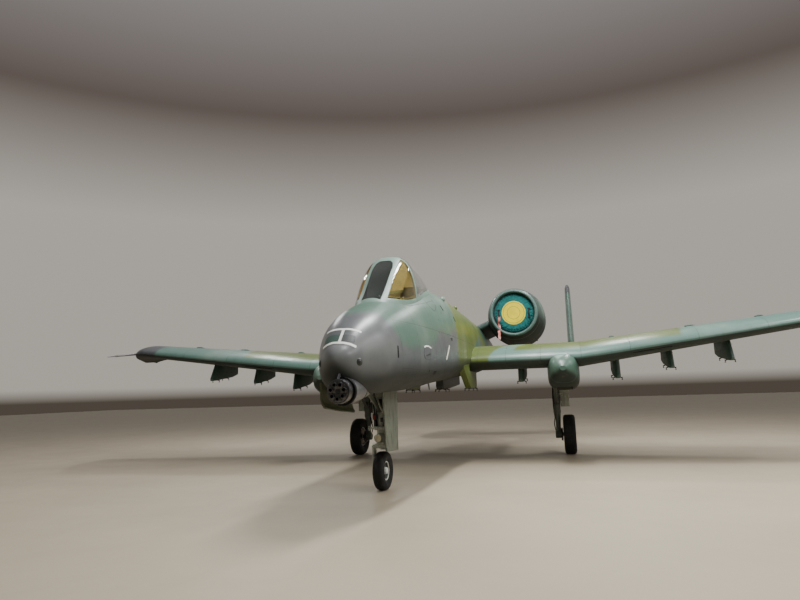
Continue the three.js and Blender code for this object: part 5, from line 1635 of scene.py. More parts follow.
rudder_ends = [(FIN_X, rudder_row(z)[0], z) for z in (RUDDER["low"], RUDDER["high"])]
rudder_pins = {r: end_pins(*rudder_ends, radius=r) for r in (PIN, PIN_ROOM)}
rudder = plus(tail_flap([rudder_row(RUDDER["low"]), rudder_row(RUDDER["high"])]), rudder_pins[PIN])
cut_rows = []
for z in (RUDDER["low"] - 12, RUDDER["high"] + 12):
    hinge, radius, _, _ = rudder_row(z)
    front = hinge - radius - CLEAR
    cut_rows.append([(FIN_X + dx, y, z) for dx, y in (
        (-300, front), (300, front), (300, 16600), (-300, 16600))])
fin_levels = [2430, 2450, 2490, 2530, 2600, 2700, 2780, 3400, 4100, 4700, 4850, 5000, 5060, 5100,
    5120]
fin = largest(minus(loft([fin_ring(z) for z in fin_levels]), loft(cut_rows), rudder_pins[PIN_ROOM],
    tail_blank))
pair("fin_skin", fin, TAIL_PAINT, replaces=["fin_{}"], smooth=30)
pair("rudder_skin", rudder, TAIL_PAINT, "rudder_{}", ["rudder_{}"], smooth=30)
tail_lamp = spun((0, 15770, 2745), (0, 1, 0), [(0, 60), (40, 52), (70, 34), (84, 8)], 28)
piece("tail_lamp", tail_lamp, LENS_GLASS)


# ---------------------------------------------------------------- intake covers
COVER_Z = 3490
# The cover's cloth is held behind this station
COVER_HELD = 8960
COVER_RADIUS, CREASES_FROM, PIPING_RADIUS = 508, 330, 470
HANDLE_INBOARD, HANDLE_OUTBOARD = ENGINE_X - 375, ENGINE_X + 385


def soft_blank(name, mesh, voxel, held, cap, swell=0.03, frames=20):
    """A fabric skin over a shape: remeshed, blown up as loose cloth, then held near its start.

    held(point) says which points stay where they are; cap is how far the others may move, in mm.
    """
    body = link(bpy.data.objects.new(name, mesh.copy()))
    body.data.transform(Matrix.Scale(MM, 4))
    remesh = body.modifiers.new("remesh", "REMESH")
    remesh.mode, remesh.voxel_size = "VOXEL", voxel * MM
    even = body.modifiers.new("even", "SMOOTH")
    even.iterations, even.factor = 3, 0.5
    fabric = evaluated(body)
    body.modifiers.clear()
    body.data = fabric
    start = [v.co.copy() for v in fabric.vertices]
    group = body.vertex_groups.new(name="held")
    group.add([v.index for v in fabric.vertices if held(v.co / MM)], 1.0, "REPLACE")
    sheet = body.modifiers.new("cloth", "CLOTH")
    s = sheet.settings
    s.vertex_group_mass = "held"
    s.use_pressure, s.uniform_pressure_force = True, 4.0
    s.effector_weights.gravity = 0.0
    s.tension_stiffness = s.compression_stiffness = 12
    s.bending_stiffness = 0.4
    s.shrink_min = -swell
    s.quality = 6
    sheet.point_cache.frame_start, sheet.point_cache.frame_end = 1, frames
    scene = bpy.context.scene
    for number in range(1, frames + 1):
        scene.frame_set(number)
    blown = evaluated(body)
    for v, first in zip(blown.vertices, start):
        step = v.co - first
        if step.length > cap * MM:
            v.co = first + step * (cap * MM / step.length)
    scene.frame_set(1)
    bpy.data.objects.remove(body)
    bm = bmesh_of(blown)
    bmesh.ops.subdivide_edges(bm, edges=bm.edges, cuts=1, use_grid_fill=True, smooth=0.6)
    result = mesh_of(bm)
    result.transform(Matrix.Scale(1 / MM, 4))
    return result


# The plug of a cover: a slightly crowned front, a rounded edge and a side wall
cover_mesh = loft([circle(96, ENGINE_X, y, COVER_Z, r) for y, r in (
    (8899, 8), (8900, 120), (8903, 260), (8907, 380), (8912, 440), (8919, 472), (8930, 494),
    (8946, 504), (8975, 507), (9012, 508), (9016, 500), (9016, 8))])
cover_mesh = soft_blank("cover_work", cover_mesh, 13, lambda p: p.y > COVER_HELD, 15)
for v in cover_mesh.vertices:
    # Creases sag towards the lower outer edge, where the fabric is slack
    dx, dz = v.co.x - ENGINE_X, v.co.z - COVER_Z
    r = math.hypot(dx, dz)
    if v.co.y < COVER_HELD and r > CREASES_FROM:
        a = math.atan2(dz, dx)
        slack = 0.35 + 0.65 * max(0, math.cos(a + 0.9))
        inward = max(0, COVER_RADIUS - r)
        rise = min(1, (r - CREASES_FROM) / 70) * min(1, inward / 40)
        crease = 7 * math.sin(a * 17 + r * 0.02) + 4 * math.sin(a * 31 + r * 0.045)
        v.co.y -= rise * slack * crease
cover_tree = tree_of(cover_mesh)
for made in pair("intake_cover_fabric", cover_mesh, COVER_CLOTH, replaces=["intake_cover_{}"],
                 smooth=180):
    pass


def on_cover(x, z, lift=0.0):
    hit = cover_tree.ray_cast(Vector((x, 8700, z)), Vector((0, 1, 0)))[0]
    return (x, (hit.y if hit else COVER_HELD) - lift, z)


def cover_disc(radius, lift, rings=14, sides=96):
    """A sewn patch that lies on the cover's crown."""
    rows = [(4, -2), (radius * 0.5, -2), (radius, -2), (radius, lift * 0.6), (radius - 2, lift),
            *[(r, lift) for r in np.linspace(radius - 8, 4, rings)]]
    return loft([[on_cover(ENGINE_X + r * math.cos(a), COVER_Z + r * math.sin(a), up)
                  for a in np.linspace(0, 2 * math.pi, sides, endpoint=False)] for r, up in rows])


def patch_finish():
    """Yellow fabric with a dark green ring near its edge and a thin one inside."""
    f = Finish("patch_rings", Sheen_Weight=0.3, Specular_IOR_Level=0.3)
    x, _, z = f.axes()
    across = f.sub(f.abs(x), ENGINE_X * MM)
    up = f.sub(z, COVER_Z * MM)
    r = f.math("SQRT", f.add(f.mul(across, across), f.mul(up, up)))
    yellow = f.mix(f.step(f.noise(4, 4), 0.35, 0.7), rgb(226, 206, 30), rgb(208, 188, 40))
    wide, thin = (f.mul(f.step(r, low, low + 0.002), f.sub(1, f.step(r, high, high + 0.002)))
                  for low, high in ((0.262, 0.27), (0.158, 0.165)))
    dark = f.add(wide, thin)
    f.color(f.mix(dark, yellow, rgb(30, 74, 44)))
    threads = woven(f, 1500)
    return f.rough(f.spread(f.noise(6, 4), 0.6, 0.85)).bump((threads, 0.2, 0.0006),
        (f.noise(14, 3), 0.3, 0.004)).material


pair("intake_cover_patch", cover_disc(305, 3.0), patch_finish(), slot="cover_cloth", smooth=40)


def band(path, wide, width, thick):
    """A flat strap along a smooth path, and its length; wide(t) is the direction of its width."""
    smooth = smooth_path(path)
    across = (-1, -0.5, 0, 0.5, 1)
    edge = [(a, -1) for a in across] + [(a, 1) for a in across[::-1]]
    rows = []
    for i, q in enumerate(smooth):
        d = unit(heading(smooth, i))
        w = np.array(wide(i / (len(smooth) - 1)), float)
        w = unit(w - d * np.dot(w, d))
        n = np.cross(d, w)
        rows.append([q + w * a * width / 2 + n * b * thick / 2 for a, b in edge])
    length = sum(np.linalg.norm(b - a) for a, b in zip(smooth, smooth[1:]))
    return loft(rows), length


HANDLE_Z = COVER_Z - 26
HANDLE_ROWS = ((118, 2), (92, 3), (70, 16), (40, 34), (0, 42), (-40, 34), (-70, 16), (-92, 3),
    (-118, 2))
handles = []
for x in (HANDLE_INBOARD, HANDLE_OUTBOARD):
    path = [on_cover(x, HANDLE_Z + dz, off) for dz, off in HANDLE_ROWS]
    handles.append(band(path, lambda t: (1, 0, 0), 34, 4)[0])
    for z in (HANDLE_Z + 106, HANDLE_Z - 106):
        y = on_cover(x, z, 3)[1]
        handles.append(rounded_box(x - 30, x + 30, y - 3, y + 6, z - 26, z + 26, 2))
pair("intake_cover_handles", merged(*handles), WEBBING, slot="cover_cloth", smooth=50)
ring_rows = []
for i in range(96):
    a = 2 * math.pi * i / 96
    out = np.array((math.cos(a), 0, math.sin(a)))
    q = on_cover(ENGINE_X + PIPING_RADIUS * math.cos(a), COVER_Z + PIPING_RADIUS * math.sin(a), 3)
    ring_rows.append([np.array(q) + 5 * (out * math.cos(b) + np.array((0, 1, 0)) * math.sin(b))
                      for b in np.linspace(0, 2 * math.pi, 8, endpoint=False)])
pair("intake_cover_piping", loft(ring_rows, loop=True), COVER_CLOTH, smooth=60)

# Streamer from the inboard handle, over the lip and down
STREAMER_WIDTH = 60
hx = HANDLE_INBOARD
streamer_path = [on_cover(hx, 3420, 14), on_cover(hx - 2, 3330, 10), on_cover(hx - 4, 3200, 9),
    (hx - 5, 8880, 3110), (hx - 6, 8836, 3052), (hx - 8, 8800, 3036), (hx - 10, 8786, 3000),
    (hx - 4, 8782, 2950), (hx - 14, 8784, 2900), (hx - 4, 8782, 2850), (hx - 12, 8784, 2818)]
streamer, streamer_length = band(
    streamer_path, lambda t: (1, 0.5 * math.sin(5 * t) * max(0, t - 0.5), 0), STREAMER_WIDTH, 1.2)
for word, mesh in (("left", streamer), ("right", mirrored(streamer))):
    hung = piece(f"intake_streamer_{word}", mesh, STREAMER_CLOTH, smooth=60)


# ---------------------------------------------------------------- nose gear
STEER_X, STEER_Y = NOSE_WHEEL["x"], NOSE_WHEEL["y"]
LAMP_X, LAMP_Z = -336, 830
WHEEL_Z = NOSE_WHEEL["radius"]
strut_rows = [(0, 78), (6, 85), (60, 85), (66, 92), (110, 92), (116, 85), (640, 85), (646, 94),
              (700, 94), (706, 85), (1119, 85)]
strut = merged(
    spun((STEER_X, STEER_Y, 900), (0, 0, 1), strut_rows, 40),
    bar((STEER_X, 2932, 1250), (STEER_X, 1700, 1890), 38, 24),
    spun((STEER_X, 2330, 1562), (0, -1232, 640), [(-60, 38), (-56, 50), (56, 50), (60, 38)], 24),
    rounded_box(STEER_X - 60, STEER_X + 60, 1640, 1760, 1850, 2019.7, 10),
    bar((-469.7, STEER_Y, 1900), (-150.3, STEER_Y, 1900), 50, 28, chamfer=6),
    bar((STEER_X, STEER_Y, 760), (STEER_X, STEER_Y, 910), 60, 32, chamfer=4))
# Painted shade: the brace up in the bay takes the darker enamel
for p in strut.polygons:
    if p.center.y < 2870 and p.center.z > 1270:
        p.material_index = 1
piece("nose_leg_strut", strut, [GEAR_PAINT, GEAR_WORN_AND_SHADED], replaces=["nose_leg"])
lamp_arm = merged(rounded_box(-356, -316, 2862, 2893, 760, 862, 8),
                  bar((LAMP_X, 2875, 800), (LAMP_X, 2850, LAMP_Z), 16, 16))
piece("landing_lamp_arm", lamp_arm, GEAR_PAINT, "nose_fork")
lamp_shell = spun_duct((LAMP_X, 2797, LAMP_Z), (0, 1, 0), [(0, 58), (2, 64), (10, 66), (22, 62),
    (60, 50), (79, 30), (79, 2), (72, 2), (56, 44), (18, 56), (6, 58)], 40)
piece("landing_lamp_shell", lamp_shell, GEAR_PAINT, "nose_fork")
# Painted highlight: the reflector is near-white paint, not a mirror
piece("landing_lamp_reflector", spun((LAMP_X, 2806, LAMP_Z), (0, 1, 0),
    [(0, 57), (10, 54), (30, 44), (44, 20), (50, 4)], 36), REFLECTOR_PAINTED_HIGHLIGHT, "nose_fork")
piece("landing_lamp_lens", spun((LAMP_X, 2797.5, LAMP_Z), (0, 1, 0), [(0, 30), (1.5, 48), (4, 57),
    (8, 57)], 36), LENS_GLASS, "nose_fork")

steering = merged(
    rounded_box(STEER_X - 130, STEER_X + 70, 3010, 3120, 1010, 1120, 16),
    bar((STEER_X - 150, 3060, 1065), (STEER_X + 110, 3060, 1065), 32, 20, chamfer=4),
    rounded_box(STEER_X - 110, STEER_X - 60, 2880, 3010, 985, 1120, 8),
    *[tube([(STEER_X + dx, y, z) for dx, y, z in path], radius, 12) for path, radius in (
        ([(60, 3060, 1100), (90, 3020, 1250), (66, 2985, 1500), (74, 2980, 1850)], 12),
        ([(-90, 3070, 1110), (-112, 3030, 1300), (-84, 2990, 1560), (-90, 2980, 1860)], 9))])
piece("steering_unit", steering, DARK_PAINT)
clamp_rows = [(0, 86), (0, 91), (16, 91), (16, 86)]
clamps = merged(*[spun_duct((STEER_X, STEER_Y, z), (0, 0, 1), clamp_rows, 36)
                  for z in (1240, 1420, 1680, 1800)])
piece("strut_clamps", clamps, FAIRING_METAL)
boxes = merged(*[rounded_box(STEER_X + x0, STEER_X + x1, *rest) for x0, x1, *rest in (
    (-150, -126, 2840, 2940, 1230, 1400, 8), (-30, 70, 2800, 2884, 1290, 1450, 10),
    (-110, -40, 2820, 2890, 1120, 1210, 8), (20, 96, 2820, 2892, 1080, 1150, 8))])
piece("strut_boxes", boxes, DARK_PAINT)
piece("strut_tags", merged(rounded_box(STEER_X - 12, STEER_X + 24, 2794, 2801, 1370, 1440, 2),
    rounded_box(STEER_X - 96, STEER_X - 70, 2814, 2821, 1130, 1196, 2)), RED_PAINT)
casting_side = [(2890, 1170), (3040, 1170), (3070, 1300), (3050, 1890), (2900, 1890), (2876, 1300)]
casting = merged(
    *[plate(casting_side, STEER_X + x, STEER_X + x + 22, 7) for x in (-126, 104)],
    *[rounded_box(STEER_X - 122, STEER_X + 122, 2882, 2900, z, z + height, 5)
      for z, height in ((1470, 90), (1760, 80))],
    bar((STEER_X - 140, 2935, 1220), (STEER_X + 140, 2935, 1220), 26, 20, chamfer=4))
piece("strut_casting", casting, GEAR_PAINT)
hoses = merged(*[tube([(STEER_X + dx, 2872, 1880), (STEER_X + dx + bend, 2850, 1620),
                       (STEER_X + dx - bend, 2856, 1380), (STEER_X + dx * 0.8, 2868, 1160),
                       (STEER_X + dx * 0.7, 2878, 1010)], r, 10)
                 for dx, bend, r in ((-92, 10, 8), (-70, -14, 6), (76, 12, 9), (94, -8, 6))])
piece("strut_hoses", hoses, SEAL_RUBBER)

# Steered fork: collar, crown, one arm and the wheel's axle
collar = spun_duct((STEER_X, STEER_Y, 720), (0, 0, 1), [(0, 61.5), (0, 90), (6, 96), (60, 96),
    (66, 95), (106, 95), (112, 96), (166, 96), (172, 90), (172, 61.5)], 40)
crown = rounded_box(-474, -196, STEER_Y - 70, STEER_Y + 70, 661, 729, 18, 3)
arm_outline = [(STEER_Y - 68, 700), (STEER_Y + 68, 700), (STEER_Y + 62, 520), (STEER_Y + 48, 330),
    (STEER_Y + 36, 268), (STEER_Y, 258), (STEER_Y - 36, 268), (STEER_Y - 48, 330),
    (STEER_Y - 62, 520)]
arm = plate(arm_outline, -474, -436, 9, 3)
axle = merged(bar((-474, STEER_Y, WHEEL_Z), (-256, STEER_Y, WHEEL_Z), 32.0, 28),
              bar((-486, STEER_Y, WHEEL_Z), (-470, STEER_Y, WHEEL_Z), 46, 6, chamfer=4))
spigot = bar((STEER_X, STEER_Y, 700), (STEER_X, STEER_Y, 765), 70, 32)
piece("fork_arm", merged(collar, crown, arm, axle, spigot), GEAR_PAINT, "nose_fork", ["nose_fork"])
KNEE_Y, KNEE_Z = STEER_Y + 160, 850


def torque_link(name, y, z, knee, offsets, pin_half, pin):
    """Two arms from a pin at the leg to the knee; both links turn with the fork."""
    outline = [(y, z), (y, z + 40), (KNEE_Y + knee[0], KNEE_Z + 22),
               (KNEE_Y + knee[1], KNEE_Z - 22)]
    arms = [plate(outline, STEER_X + x, STEER_X + x + 16, 4) for x in offsets]
    ends = [(STEER_X + side * pin_half, y + 8, z + 20) for side in (-1, 1)]
    piece(name, merged(*arms, bar(*ends, pin, 18, chamfer=3)), GEAR_PAINT, "nose_fork")


torque_link("torque_link_upper", STEER_Y + 84, 938, (24, 18), (-58, 42), 64, 22)
torque_link("torque_link_lower", STEER_Y + 90, 738, (18, 24), (-36, 20), 40, 20)

# Towing bar with its lug in front of the collar
TOW_Z = 985
TOW_Y = STEER_Y - 110
tow = merged(
    bar((-492, TOW_Y, TOW_Z), (-150, TOW_Y, TOW_Z), 17, 20, chamfer=3),
    spun_duct((-505, TOW_Y, TOW_Z), (1, 0, 0), [(0, 19), (0, 36), (16, 36), (16, 19)], 24),
    rounded_box(STEER_X - 96, STEER_X + 96, TOW_Y - 14, TOW_Y + 48, TOW_Z - 24, TOW_Z + 24, 8),
    *[rounded_box(STEER_X + x, STEER_X + x + 14, TOW_Y - 24, TOW_Y + 14, TOW_Z - 30, TOW_Z + 30, 4)
      for x in (-84, -52, 38, 70)])
piece("tow_bar", tow, GEAR_PAINT)

# Guard plates over the tyre and a slender rod beside it
guard = merged(tube([(STEER_X + 40, STEER_Y - 92, 770), (STEER_X - 40, STEER_Y - 128, 742),
    (STEER_X - 120, STEER_Y - 118, 706), (STEER_X - 142, STEER_Y - 70, 690)], 15, 14),
    rounded_box(STEER_X - 10, STEER_X + 118, STEER_Y - 96, STEER_Y - 30, 646, 660, 5),
    bar((STEER_X - 146, STEER_Y - 62, 700), (STEER_X - 146, STEER_Y - 50, 330), 9, 14, chamfer=2))
piece("fork_guard", guard, GEAR_PAINT, "nose_fork")


# ---------------------------------------------------------------- wheels
WHEEL_FACE = 0.62  # half the rim's width over half the tyre's


def tyre(x, y, radius, rim_radius, width, grooves):
    """A tyre about the x axis, with round grooves cut into its tread."""
    half = width / 2
    side = [(rim_radius + 1, 0.60), (rim_radius + 8, 0.68), ((rim_radius * 2 + radius) / 3, 0.90),
        ((rim_radius + radius) / 2, 0.99), ((rim_radius + 2 * radius) / 3, 0.985),
        (radius - 28, 0.88), (radius - 13, 0.74), (radius - 4, 0.56)]
    tread = []
    count = 2 * grooves + 1
    w, lip, depth = 0.45 / count * half * 0.62, 1.8 * 0.4, 7
    for i, t in enumerate(np.linspace(-0.45, 0.45, count)):
        crown = radius - 10 * (t / 0.56) ** 2 * 0.25
        rows = [(0, 0)] if i % 2 == 0 else [(-w, 0), (lip - w, depth), (w - lip, depth), (w, 0)]
        tread += [(t * half + dx, crown - down) for dx, down in rows]
    rows = [(-half * w, r) for r, w in side] + tread + [(half * w, r) for r, w in reversed(side)]
    rows += [(half * 0.50, rim_radius + 1), (-half * 0.50, rim_radius + 1)]
    return spun_duct((x, y, radius), (1, 0, 0), rows, 96)


def wheel_rim(x, y, z, rim_radius, width, bore, spokes, dish):
    """A cast rim with lightening holes round its hub; dish is the web's offset outboard."""
    face = WHEEL_FACE * width / 2
    lip = rim_radius - 13
    rows = [(-face, bore), (-face, bore + 16), (-face * 0.5, bore + 20), (dish - 10, bore + 24),
            (dish - 10, lip - 10), (-face * 0.8, lip - 3), (-face, lip), (-face, rim_radius - 2),
            (-face + 4, rim_radius), (face - 4, rim_radius), (face, rim_radius - 2), (face, lip),
            (face * 0.8, lip - 3), (dish + 12, lip - 10), (dish + 12, bore + 28),
            (face * 0.85, bore + 20), (face, bore + 14), (face, bore)]
    body = spun_duct((x, y, z), (1, 0, 0), rows, 72)
    holes = []
    ring = (bore + 28 + rim_radius - 23) / 2
    size = (rim_radius - 23 - bore - 28) / 2 * 0.9
    for i in range(spokes):
        a = 2 * math.pi * (i + 0.5) / spokes
        spread = ring * math.sin(math.pi / spokes) * 0.72
        outline = []
        for k in range(20):
            c, s = math.cos(2 * math.pi * k / 20), math.sin(2 * math.pi * k / 20)
            u = size * math.copysign(abs(c) ** 0.6, c)
            v = spread * math.copysign(abs(s) ** 0.7, s) * (1 + 0.5 * u / ring)
            outline.append((y + (ring + u) * math.cos(a) - v * math.sin(a),
                            z + (ring + u) * math.sin(a) + v * math.cos(a)))
        holes.append(plate(outline, x + dish - 60, x + dish + 60))
    cast = minus(body, *holes)
    # Painted shade: faces of the recessed web and its holes take the second, darker finish
    for p in cast.polygons:
        r = math.hypot(p.center.y - y, p.center.z - z)
        if bore + 30 < r < lip - 4 and abs(p.center.x - x) < face * 0.78:
            p.material_index = 1
    return cast


def hub_cap(x, y, z, radius, side, bolts, ring):
    """A domed cap with a ring of bolts; side is 1 or -1 along x."""
    parts = [spun((x, y, z), (side, 0, 0), [(0, radius), (8, radius), (14, radius - 6),
        (20, radius * 0.5), (23, 3)], 32)]
    for i in range(bolts):
        a = 2 * math.pi * i / bolts
        cy, cz = y + ring * math.cos(a), z + ring * math.sin(a)
        parts.append(bar((x - side * 4, cy, cz), (x + side * 7, cy, cz), 5.5, 6, chamfer=1))
    return merged(*parts)


def wheel(name, body, row, bore, spokes, dish, cap, make, tyre_node, rim_node):
    """Tyre, rim and hub cap; make is piece or pair, cap is (gap, radius, bolts, ring)."""
    x, y, z, width = row["x"], row["y"], row["radius"], row["half"] * 2
    make(f"{name}_tyre_tread", tyre(x, y, z, row["rim"], width, 4), TYRE_RUBBER, body, [tyre_node])
    make(f"{name}_rim_cast", wheel_rim(x, y, z, row["rim"], width, bore, spokes, dish),
         [RIM_PAINT, RIM_SHADE], body, [rim_node])
    gap, radius, bolts, ring = cap
    face = x + WHEEL_FACE * width / 2
    make(f"{name}_hub_cap", hub_cap(face + gap, y, z, radius, 1, bolts, ring), RIM_PAINT, body)


wheel("nose", "nose_wheel", NOSE_WHEEL, 33, 8, 6, (-2, 52, 8, 44), piece, "nose_tyre", "nose_rim")
wheel("main", "main_wheel_{}", MAIN_WHEEL, 48, 10, 16, (2, 44, 10, 58), pair,
      "main_tyre_{}", "main_rim_{}")
MAIN_X, MAIN_Y, MAIN_Z = (MAIN_WHEEL[key] for key in ("x", "y", "radius"))
first_disc = MAIN_X - WHEEL_FACE * MAIN_WHEEL["half"] + 8
disc = MAIN_WHEEL["rim"] - 44
stack = [spun_duct((first_disc + k * 9, MAIN_Y, MAIN_Z), (1, 0, 0),
                   [(0, 70), (0, disc), (5, disc), (5, 70)], 48) for k in range(5)]
pair("brake_discs", merged(*stack), BURNT_METAL, "main_wheel_{}")

# ---------------------------------------------------------------- main gear
leg = merged(
    bar((LEG_X, 8240, 1750), (LEG_X, 8300, 950), 82, 36, 74),
    spun((LEG_X, 8298, 970), (0, -60, 800), [(-20, 74), (-14, 86), (60, 86), (66, 78)], 36),
    spun((LEG_X, 8268, 1370), (0, -60, 800), [(0, 80), (4, 90), (44, 90), (48, 80)], 36),
    bar((LEG_X, 8300, 980), (LEG_X, 8302, 952), 84, 36, chamfer=6))
leg = minus(leg, pod_blank)
piston = bar((LEG_X, 8300, 960), (LEG_X, 8366, 500), 52, 32)
knuckle = bar((2300, MAIN_Y, MAIN_Z), (2445, MAIN_Y, MAIN_Z), 88, 36, chamfer=10)
hub_axle = merged(bar((2440, MAIN_Y, MAIN_Z), (2684, MAIN_Y, MAIN_Z), 47.0, 28),
                  bar((2684, MAIN_Y, MAIN_Z), (2692, MAIN_Y, MAIN_Z), 30, 6, chamfer=2))
upper_arm = [(8338, 1085), (8390, 1105), (8555, 812), (8560, 790), (8520, 796)]
lower_arm = [(8400, 540), (8558, 800), (8520, 828), (8350, 560)]
link_arms = merged(
    *[plate(outline, LEG_X + x0, LEG_X + x1, 4) for outline, x0, x1 in (
        (upper_arm, -30, -12), (upper_arm, 12, 30), (lower_arm, -10, 10))],
    *[bar((LEG_X - half, y, z), (LEG_X + half, y, z), radius, 18, chamfer=3)
      for half, y, z, radius in ((38, 8542, 806, 20), (38, 8352, 1082, 24), (30, 8384, 548, 24))])
brace = minus(bar((LEG_X, 8260, 1150), (LEG_X, 7500, 1700), 36, 24), pod_blank)
pair("main_leg_strut", merged(leg, piston, knuckle, hub_axle, link_arms, brace), GEAR_WORN_AND_SHADED,
     replaces=["main_leg_{}"])
pipes = merged(*[tube([(LEG_X + dx, y, z) for dx, y, z in path], radius, 12) for path, radius in (
    ([(-60, 8210, 1700), (-78, 8225, 1400), (-76, 8260, 1100), (-60, 8340, 860), (-84, 8420, 700),
      (-60, 8410, 540)], 11),
    ([(58, 8210, 1700), (76, 8235, 1350), (70, 8280, 1040), (52, 8330, 700), (48, 8380, 540)], 9))])
pair("brake_pipes", pipes, SEAL_RUBBER)
pistons = []
for i in range(6):
    a = 2 * math.pi * i / 6 + 0.3
    cy, cz = MAIN_Y + 118 * math.cos(a), MAIN_Z + 118 * math.sin(a)
    pistons.append(bar((2428, cy, cz), (2470, cy, cz), 26, 18, chamfer=3))
brake_rows = [(0, 100), (4, 152), (22, 152), (26, 100)]
brake = merged(spun((2446, MAIN_Y, MAIN_Z), (1, 0, 0), brake_rows, 40), *pistons)
pair("brake_plate", brake, DARK_PAINT)
valve = merged(rounded_box(LEG_X - 52, LEG_X + 52, 8150, 8230, 1240, 1330, 8),
    spun_duct((LEG_X, 8262, 1180), (0, -60, 800), [(0, 80), (0, 88), (18, 88), (18, 80)], 30))
pair("leg_valve", valve, DARK_PAINT)

# Doors: their inner faces carry stiffeners
door = minus(rounded_box(2460, 2665, 8420, 8446, 1100, 1700, 6), pod_blank,
             bar((2505, 8400, 1380), (2505, 8460, 1380), 18, 20))
pair("main_door_skin", largest(door), GEAR_PAINT, replaces=["main_door_{}"])
ribs = merged(*[rounded_box(2472, 2653, 8404, 8421, z, z + 14, 3) for z in (1130, 1260, 1420)],
              *[rounded_box(x, x + 12, 8404, 8421, 1112, 1440, 3) for x in (2474, 2556, 2640)])
pair("main_door_ribs", ribs, GEAR_PAINT)
arms = merged(bar((2440, 8300, 1250), (2480, 8424, 1200), 14, 14),
              bar((2440, 8290, 1420), (2480, 8424, 1400), 14, 14))
pair("main_door_arms", arms, GEAR_PAINT)

side_outline = [(2560, 640), (3200, 610), (3240, 1640), (2420, 1640)]
fuselage_blank = fuselage(140, TAIL_END, step=160)
side_door = largest(minus(plate(side_outline, -138, -110, 7), fuselage_blank))
piece("side_door_panel", side_door, DOOR_PAINT, replaces=["nose_side_door"])
ribs = merged(
    *[rounded_box(-152, -137, y, 3190, z, z + 16, 4)
      for y, z in ((2580, 720), (2550, 960), (2520, 1220))],
    *[rounded_box(-152, -137, y, y + 16, 690, 1420, 4) for y in (2620, 2860, 3120)],
    *[tube([(-140, y, 1180), (-230, y - 20, 1300), (-300, y - 30, 1500)], 14, 12)
      for y in (2700, 3090)])
piece("side_door_ribs", minus(ribs, fuselage_blank), GEAR_PAINT)


def front_door_ring(y, low):
    return [(-500, y, 1700), (-474, y, 1700), (-470, y, low + 150), (-466, y, low + 90),
        (-452, y, low + 45), (-430, y, low + 12), (-436, y, low + 3), (-452, y, low),
        (-478, y, low + 42), (-494, y, low + 90)]


front = loft([front_door_ring(y, low) for y, low in ((870, 1380), (884, 1364), (1160, 1334),
    (1450, 1305), (1740, 1286), (2006, 1268), (2020, 1282))])
front = largest(minus(front, fuselage_blank))
piece("front_door_panel", front, DARK_OLIVE_PAINT, replaces=["nose_front_door"], smooth=40)
door_arms = merged(*[tube([(-470, y, z), (-420, y + 10, z + rise), (-350, y + 30, 1800)], 13)
                     for y, z, rise in ((1050, 1560, 90), (1850, 1500, 140))])
# Painted shade: the door arms up in the bay take the darker enamel
piece("front_door_arms", door_arms, GEAR_WORN_AND_SHADED)
bay_ribs = merged(
    *[rounded_box(x, x + 15, y, y + 18, 1560, BAY["top"] - 2, 4)
      for x in (BAY["x0"] + 1, BAY["x1"] - 16) for y in range(1100, 3200, 300)],
    tube([(-190, 1000, 1960), (-200, 1800, 1930), (-196, 2600, 1970), (-200, 3200, 1950)], 13),
    tube([(-430, 1000, 1930), (-420, 1500, 1970), (-430, 2200, 1940), (-428, 3200, 1960)], 10))
piece("nose_bay_ribs", bay_ribs, BAY_PAINT)


# ---------------------------------------------------------------- floor, light and camera
def floor_material():
    f = Finish("hall_floor")
    f.color(f.mix(f.noise(0.5, 4), rgb(172, 160, 138), rgb(152, 141, 121)))
    f.rough(f.spread(f.noise(2.0, 3), 0.42, 0.6))
    return f.material


FLOOR = 80
floor_mesh = bpy.data.meshes.new("floor")
floor_mesh.from_pydata([(-FLOOR, -FLOOR, 0), (FLOOR, -FLOOR, 0), (FLOOR, FLOOR, 0),
    (-FLOOR, FLOOR, 0)], [], [(0, 1, 2, 3)])
floor_mesh.materials.append(floor_material())
link(bpy.data.objects.new("floor", floor_mesh))


def soft_light(name, size, place, target, power, shines=True):
    data = bpy.data.lights.new(name, "AREA")
    data.shape, data.size, data.size_y = "RECTANGLE", size[0], size[1]
    data.energy = power
    obj = bpy.data.objects.new(name, data)
    obj.visible_glossy = shines
    obj.location = place
    aim = Vector(target) - Vector(place)
    obj.rotation_euler = aim.to_track_quat("-Z", "Y").to_euler()
    link(obj)


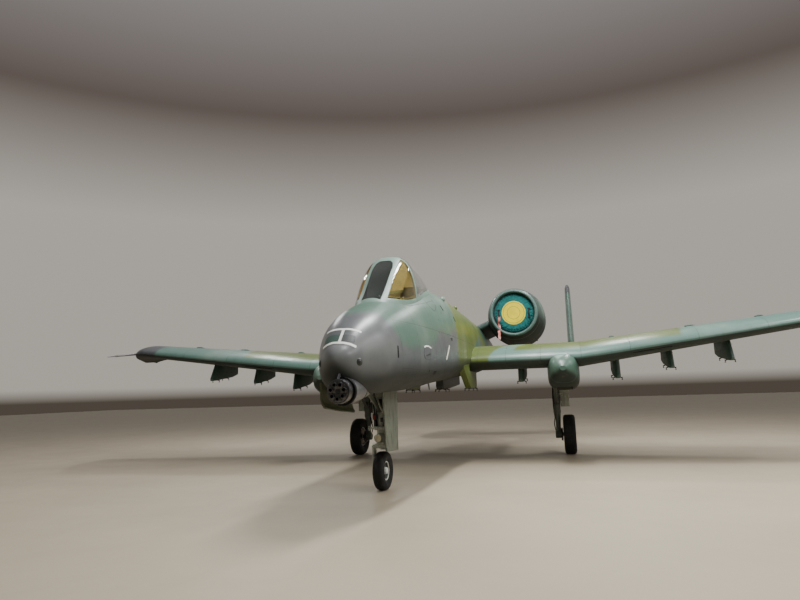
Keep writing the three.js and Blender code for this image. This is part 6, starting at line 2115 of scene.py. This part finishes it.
soft_light("roof_light", (20, 26), (4, -4, 12), (1, -3, 0), 2900, False)
soft_light("front_light", (24, 7), (2, -24, 11), (1, -3, 2), 520, False)
soft_light("port_light", (12, 6), (18, -12, 9), (2, -2, 2), 800, False)
LAMP_HEIGHT = 8.6
soft_light("hall_tube", (0.5, 4.2), (1.9, -4.9, LAMP_HEIGHT), (1.9, -4.9, 0), 800)
for i, (x, y) in enumerate(((-7, 2), (-4, 6), (4, 3), (9, -3), (9, -8), (14, -1))):
    soft_light(f"hall_lamp_{i}", (0.55, 0.55), (x, y, LAMP_HEIGHT), (x, y, 0), 250)
world = bpy.data.worlds.new("hall")
world.use_nodes = True
tree = world.node_tree
background = tree.nodes["Background"]
place = tree.nodes.new("ShaderNodeTexCoord")
split = tree.nodes.new("ShaderNodeSeparateXYZ")
walls = tree.nodes.new("ShaderNodeValToRGB")
tree.links.new(place.outputs["Generated"], split.inputs[0])
tree.links.new(split.outputs[2], walls.inputs[0])
stops = walls.color_ramp.elements
for at, color in ((0.0, (96, 88, 78)), (0.02, (210, 203, 192)), (0.28, (214, 208, 198)),
        (0.44, (116, 104, 98)), (1.0, (92, 84, 80))):
    stop = stops[0] if at == 0.0 else stops.new(at)
    stop.position, stop.color = at, rgb(*color)
tree.links.new(walls.outputs[0], background.inputs["Color"])
fade = tree.nodes.new("ShaderNodeMapRange")
for socket, value in (("From Min", -0.35), ("From Max", 0.45), ("To Min", 0.26), ("To Max", 0.68)):
    fade.inputs[socket].default_value = value
tree.links.new(split.outputs[1], fade.inputs["Value"])
tree.links.new(fade.outputs[0], background.inputs["Strength"])
bpy.context.scene.world = world

# The photo's camera, as solved from the aircraft's known sizes
CAMERA_PLACE = (2.662, -14.570, 1.536)
FOCAL_PIXELS, IMAGE_WIDTH, SENSOR = 590.4, 800, 36.0
yaw, pitch, roll = (math.radians(a) for a in (-15.47, 8.95, -1.77))
ahead = Vector((math.sin(yaw) * math.cos(pitch), math.cos(yaw) * math.cos(pitch), math.sin(pitch)))
right = Vector((math.cos(yaw), -math.sin(yaw), 0))
above = right.cross(ahead)
camera_x = right * math.cos(roll) + above * math.sin(roll)
camera_y = above * math.cos(roll) - right * math.sin(roll)
lens = bpy.data.cameras.new("camera")
lens.sensor_fit, lens.sensor_width = "HORIZONTAL", SENSOR
lens.lens = FOCAL_PIXELS / IMAGE_WIDTH * SENSOR
lens.clip_end = 500
camera = link(bpy.data.objects.new("camera", lens))
camera.matrix_world = Matrix([(*row, at) for row, at in zip(
    zip(camera_x, camera_y, -ahead), CAMERA_PLACE)] + [(0, 0, 0, 1)])
bpy.context.scene.camera = camera
